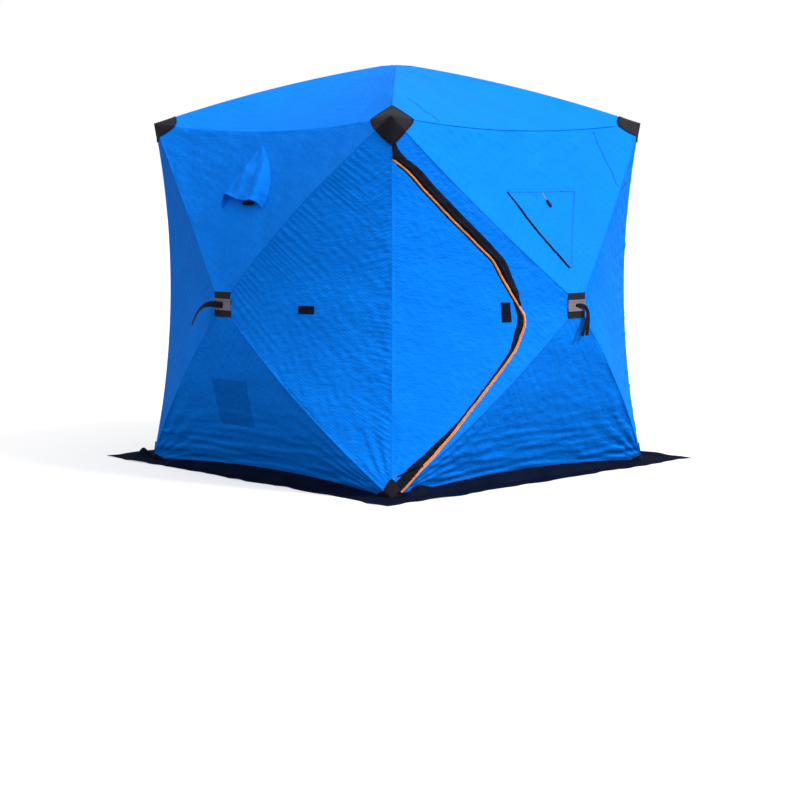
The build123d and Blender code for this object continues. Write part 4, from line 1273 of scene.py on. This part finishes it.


# Vent: a hood held off the wall along its lower lip, with dark netting behind it that also serves as painted
# shade in the hood's mouth

def vent_hood_object(columns=72, rows=48):
    """The hood's cloth: curves from its apex down to the lip, which stands off the wall."""
    apex = np.array([-0.041, 1.62])
    bend = np.array([0.125, 1.46])
    shares = [0.0, 0.07, 0.2, 0.45, 0.68, 0.8, 0.9, 1.0]
    lip = np.array([(-0.169, 1.314), (-0.163, 1.352), (-0.138, 1.386), (-0.03, 1.362), (0.045, 1.352),
                    (0.085, 1.36), (0.12, 1.343), (0.147, 1.317)])
    rises = [0.0003, 0.026, 0.05, 0.044, 0.05, 0.048, 0.026, 0.0003]
    a = np.linspace(0, 1, columns + 1)
    b = np.linspace(0, 1, rows + 1)[:, None]
    end = np.stack([np.interp(a, shares, lip[:, k]) for k in range(2)], 1)
    rise = np.interp(a, shares, rises)
    smoothed(end, 4)
    smoothed(rise, 4)
    straight = (apex + end) / 2
    right_control = 2 * bend - (apex + lip[-1]) / 2
    control = straight + (a[:, None] ** 2.5) * (right_control - straight[-1])
    w = weights(b)
    u, v = (w[0] * apex[k] + w[1] * control[None, :, k] + w[2] * end[None, :, k] for k in range(2))
    folds = (0.0022 * np.sin(a[None, :] * 17 + 1.2 * b) * smooth(b, 0.15, 0.6)
             + 0.002 * ripples(55, 0.14, 0.05, 10)(u, v))
    seam = np.minimum(smooth(a, 0, 0.06), smooth(1 - a, 0, 0.06))[None, :]
    height = 0.0006 + rise[None, :] * b ** 1.35 + (0.006 * np.sin(pi * b) + folds) * seam * smooth(b, 0, 0.2)
    height = np.maximum(height, 0.0006)
    flat = np.stack([u, v], -1)
    outer_height = height + 0.0016
    hood = sheet_on_wall("vent_hood_cloth", left_wall, "top", flat, outer_height, height, blue_quilt, 2)
    placed(hood, nodes=["vent_hood"])
    rim = along_wall(left_wall, "top", flat[-1], height[-1] + 0.001)
    placed(tube("vent_lip", rim, 0.0024, blue_plain))
    out = left_wall.axes[2]
    outer = along_wall(left_wall, "top", flat, outer_height)
    lines = [outer[-3], outer[-5]] + [outer[6:, j] + out * 0.0006 for j in (-3, -4, 3)]
    stitch_mesh("vent_stitches", [(spaced(line, fine_pitch), out) for line in lines], thread)


vent_hood_object()
# Dark netting behind the hood: the vent's netting, and also painted shade for the hood's dark mouth
netting_and_shade = [(-0.11, 1.375), (0.1, 1.375), (0.08, 1.47), (-0.08, 1.47)]
laid_strip("vent_netting_and_shade", left_wall, "top", netting_and_shade, 17, 13, 0.0022, black_cloth)
patch_object("vent_tab", left_wall, "top", box_corners(-0.016, 1.331, 0.06, 1.349), 0.0028, 0.012,
             velcro)


# Webbing straps that pull the hubs out

def strap_object(name, side, route, width, edge_on, steps=60):
    """A strip of webbing along a smooth line through the route's (u, v, stand-off) points."""
    points = np.array(route, float)
    at = np.linspace(0, run_lengths(points)[-1], steps)
    line = smoothed(points_at(points, at), 26)
    run = directions(line)
    aside = np.stack([run[:, 1], -run[:, 0], 0 * run[:, 0]], 1)
    aside = aside / np.maximum(np.linalg.norm(aside, axis=1, keepdims=True), 1e-6)
    lean = edge_on * smooth(np.linspace(0, 1, steps), 0.1, 0.5)[:, None]
    across = aside * np.cos(lean) + np.cross(run, aside) * np.sin(lean)
    face = np.cross(across, run)
    shape = [(-1, 0), (-0.8, 0.0009), (0, 0.0011), (0.8, 0.0009), (1, 0), (0.8, -0.0009), (0, -0.0011),
             (-0.8, -0.0009)]
    rings = np.stack([line + across * x * width / 2 + face * y for x, y in shape], 1)
    grid = side.world(rings + np.array([0, 0, side.hub_level]))
    index, faces = grid_faces(*grid.shape[:2], wrap=True)
    faces = faces.tolist() + [tuple(index[0]), tuple(index[-1][::-1])]
    uv = np.stack(np.broadcast_arrays([x * width / 2 for x, _ in shape], at[:, None]), -1)
    obj = new_object(name, grid.reshape(-1, 3), faces, webbing, uv.reshape(-1, 2))
    placed(obj, nodes=["pull_straps"])


hub = hub_height
side_route = [(0.006, hub - 0.003, 0.0035), (-0.02, hub - 0.001, 0.012), (-0.05, hub + 0.004, 0.034),
              (-0.078, hub - 0.004, 0.052), (-0.104, hub - 0.03, 0.066), (-0.124, hub - 0.064, 0.074),
              (-0.14, hub - 0.1, 0.078)]
door_route = [(0.004, hub - 0.002, 0.0035), (0.022, hub + 0.001, 0.011), (0.045, hub - 0.006, 0.018),
              (0.06, hub - 0.026, 0.021), (0.066, hub - 0.06, 0.02), (0.066, hub - 0.1, 0.016),
              (0.064, hub - 0.145, 0.013)]
tail_route = [(0.046, hub - 0.008, 0.0205), (0.058, hub - 0.026, 0.024), (0.056, hub - 0.055, 0.024),
              (0.046, hub - 0.09, 0.019), (0.034, hub - 0.13, 0.015), (0.026, hub - 0.146, 0.014)]
for name in ("left", "right"):
    strap_object("strap_" + name, walls[name], side_route, 0.03, 0.5)
for name in ("front", "back"):
    strap_object("strap_" + name, walls[name], door_route, 0.02, 0.3)
    strap_object("strap_tail_" + name, walls[name], tail_route, 0.018, 0.3)


# Snow skirt

# Each corner's signs, and how far out of the hut's own corner the skirt's corner lies
skirt_corners = {"front_left": ((-1, -1), (-0.15, -0.13)), "front_right": ((1, -1), (0.26, -0.12)),
                 "back_right": ((1, 1), (0.26, 0.27)), "back_left": ((-1, 1), (-0.1, 0.27))}
wall_ends = {"front": ("front_left", "front_right"), "right": ("front_right", "back_right"),
             "back": ("back_right", "back_left"), "left": ("back_left", "front_left")}
skirt_thickness = 0.0022
ground_gap = 0.0005
tuck_under = 0.05
wave_height = 0.006
edge_wander = 0.011
ground_waves = ripples(900, 0.5, 0.12, 12)
outline_waves = ripples(901, 0.55, 0.1, 10)
# Where the front skirt is pushed up beside the zip's foot, how wide, how high and how far out
hump_u, hump_width, hump_height, hump_out = -0.745, 0.075, 0.032, 0.012
# A lump of snow under the back left corner: how far along to the tip, how high, how wide
lump_share, lump_height, lump_radius = 0.2, 0.055, 0.036


def skirt_corner(name, share):
    """A place on the ground between the hut's corner (0) and the skirt's (1)."""
    signs, tip = skirt_corners[name]
    return np.array([sign * half_base + share * reach for sign, reach in zip(signs, tip)] + [0.0])


def skirt_object(wall_name, columns=180, rows=26):
    """One side of the skirt: rows go from under the hem, down and out to the skirt's edge."""
    side = walls[wall_name]
    start, end = wall_ends[wall_name]
    s = np.linspace(0, 1, columns + 1)
    hem = side.world(side.point("bottom", 1 - s, 0 * s))
    out = side.axes[2][:2]
    ends = smooth(np.minimum(s, 1 - s), 0.0, 0.05)
    grid = []
    for share in [-tuck_under, 0.0, *np.linspace(0.02, 1.0, rows - 1)]:
        away = max(share, 0)
        ground = (skirt_corner(start, away)[None, :] * (1 - s)[:, None]
                  + skirt_corner(end, away)[None, :] * s[:, None])
        fall = smooth(share, 0.0, 0.42)
        base = hem * (1 - fall) + ground * fall
        flat = hem[:, :2] * (1 - away) + ground[:, :2] * away
        down = smooth(share, 0, 0.3)
        base[:, :2] = np.where(share < 0, hem[:, :2] + out * share * 0.1,
                               ground[:, :2] * down + flat * (1 - down))
        base[:, 2] = hem[:, 2] * (1 - fall)
        wave = ground_waves(base[:, 0], base[:, 1])
        lift = wave_height * np.clip(wave, 0, 2) * smooth(share, 0.12, 0.5)
        lift = lift * (1 - 0.6 * smooth(share, 0.85, 1.0))
        edge_move = edge_wander * outline_waves(base[:, 0], base[:, 1]) * smooth(share, 0.4, 1.0) * ends
        base[:, :2] += out * edge_move[:, None]
        base[:, 2] = np.maximum(base[:, 2], 0.0) + lift + ground_gap
        if wall_name == "front":
            hump = np.exp(-((base[:, 0] - hump_u) / hump_width) ** 2) * (1 - smooth(share, 0.1, 0.5))
            base[:, 2] += hump_height * hump
            base[:, :2] += out * (hump_out * hump)[:, None]
        if "back_left" in (start, end):
            far = np.hypot(*(base[:, :2] - skirt_corner("back_left", lump_share)[:2]).T)
            base[:, 2] += lump_height * np.exp(-(far / lump_radius) ** 2)
        grid.append(base)
    grid = np.stack(grid)
    obj = shell_object("skirt_" + wall_name, grid + np.array([0, 0, skirt_thickness]), grid, skirt_cloth,
                       grid[..., :2], 2)
    placed(obj, "shell", [wall_name + "_skirt"])


for wall_name in walls:
    skirt_object(wall_name)


# Finishes of the hard parts

for node, material in (("hub_plates", black_plastic), ("hub_clips", grey_clip), ("wall_hubs", black_plastic),
                       ("roof_hub", black_plastic), ("pole_ferrules", black_plastic),
                       ("wall_poles", pole_wrap), ("roof_poles", pole_wrap),
                       ("top_pole_pockets", black_plastic), ("foot_pole_pockets", black_plastic)):
    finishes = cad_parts[node].data.materials
    finishes.clear()
    finishes.append(material)


# Stage, light and camera

floor_reach = 60.0
floor_level = -0.001
floor_shade = (0.17, 0.17, 0.18, 1)
floor_seen = (0.45, 0.45, 0.45, 1)
floor_glow = 0.56
# The sky's level, and how much it grows towards +X, +Y and +Z
sky_level = 0.68
sky_slopes = (-0.2, -0.54, 0.5)
sun_from = (0.25, -0.66, 0.56)
camera_place = (-7.007, -7.265, 1.441)
camera_down = 6.37
camera_turn = 45.94


def seen_straight(tree):
    """1 for rays straight from the camera."""
    return tree.nodes.new("ShaderNodeLightPath").outputs["Is Camera Ray"]


floor_mesh = bpy.data.meshes.new("floor")
floor_mesh.from_pydata([(x * floor_reach, y * floor_reach, floor_level)
                        for x, y in ((-1, -1), (1, -1), (1, 1), (-1, 1))], [], [(0, 1, 2, 3)])
floor = linked(bpy.data.objects.new("floor", floor_mesh))
floor_material, tree, shader = node_material("pale_floor", (0.8, 0.8, 0.8, 1), 0.9, 0.0, 0.0)
straight = seen_straight(tree)
connect(tree, mix_colour(tree, straight, floor_shade, floor_seen), shader.inputs["Base Color"])
shader.inputs["Emission Color"].default_value = (1, 1, 1, 1)
connect(tree, math_node(tree, "MULTIPLY", straight, floor_glow), shader.inputs["Emission Strength"])
floor_mesh.materials.append(floor_material)

# The sky is a soft box, brighter from the front and above
world = bpy.data.worlds.new("studio")
world.use_nodes = True
bpy.context.scene.world = world
tree = world.node_tree
maths = partial(math_node, tree)
background = tree.nodes["Background"]
way = tree.nodes.new("ShaderNodeSeparateXYZ")
tree.links.new(tree.nodes.new("ShaderNodeTexCoord").outputs["Generated"], way.inputs[0])
level = sky_level
for socket, slope in zip(way.outputs, sky_slopes):
    level = maths("ADD", level, maths("MULTIPLY", socket, slope))
straight = seen_straight(tree)
strength = maths("ADD", maths("MULTIPLY", level, maths("SUBTRACT", 1.0, straight)), straight)
connect(tree, strength, background.inputs["Strength"])
background.inputs["Color"].default_value = (1, 1, 1, 1)

sun_data = bpy.data.lights.new("key", "SUN")
sun_data.energy = 3.0
sun_data.angle = radians(18)
sun = linked(bpy.data.objects.new("key", sun_data))
sun.rotation_euler = Vector(sun_from).to_track_quat("Z", "Y").to_euler()

camera_data = bpy.data.cameras.new("camera")
camera_data.lens = 88.0
camera_data.sensor_width = 36.0
camera_data.clip_end = 300
camera = linked(bpy.data.objects.new("camera", camera_data))
camera.location = camera_place
camera.rotation_euler = (radians(90 - camera_down), 0, radians(camera_turn - 90))
bpy.context.scene.camera = camera
bpy.context.scene.view_settings.view_transform = "Standard"
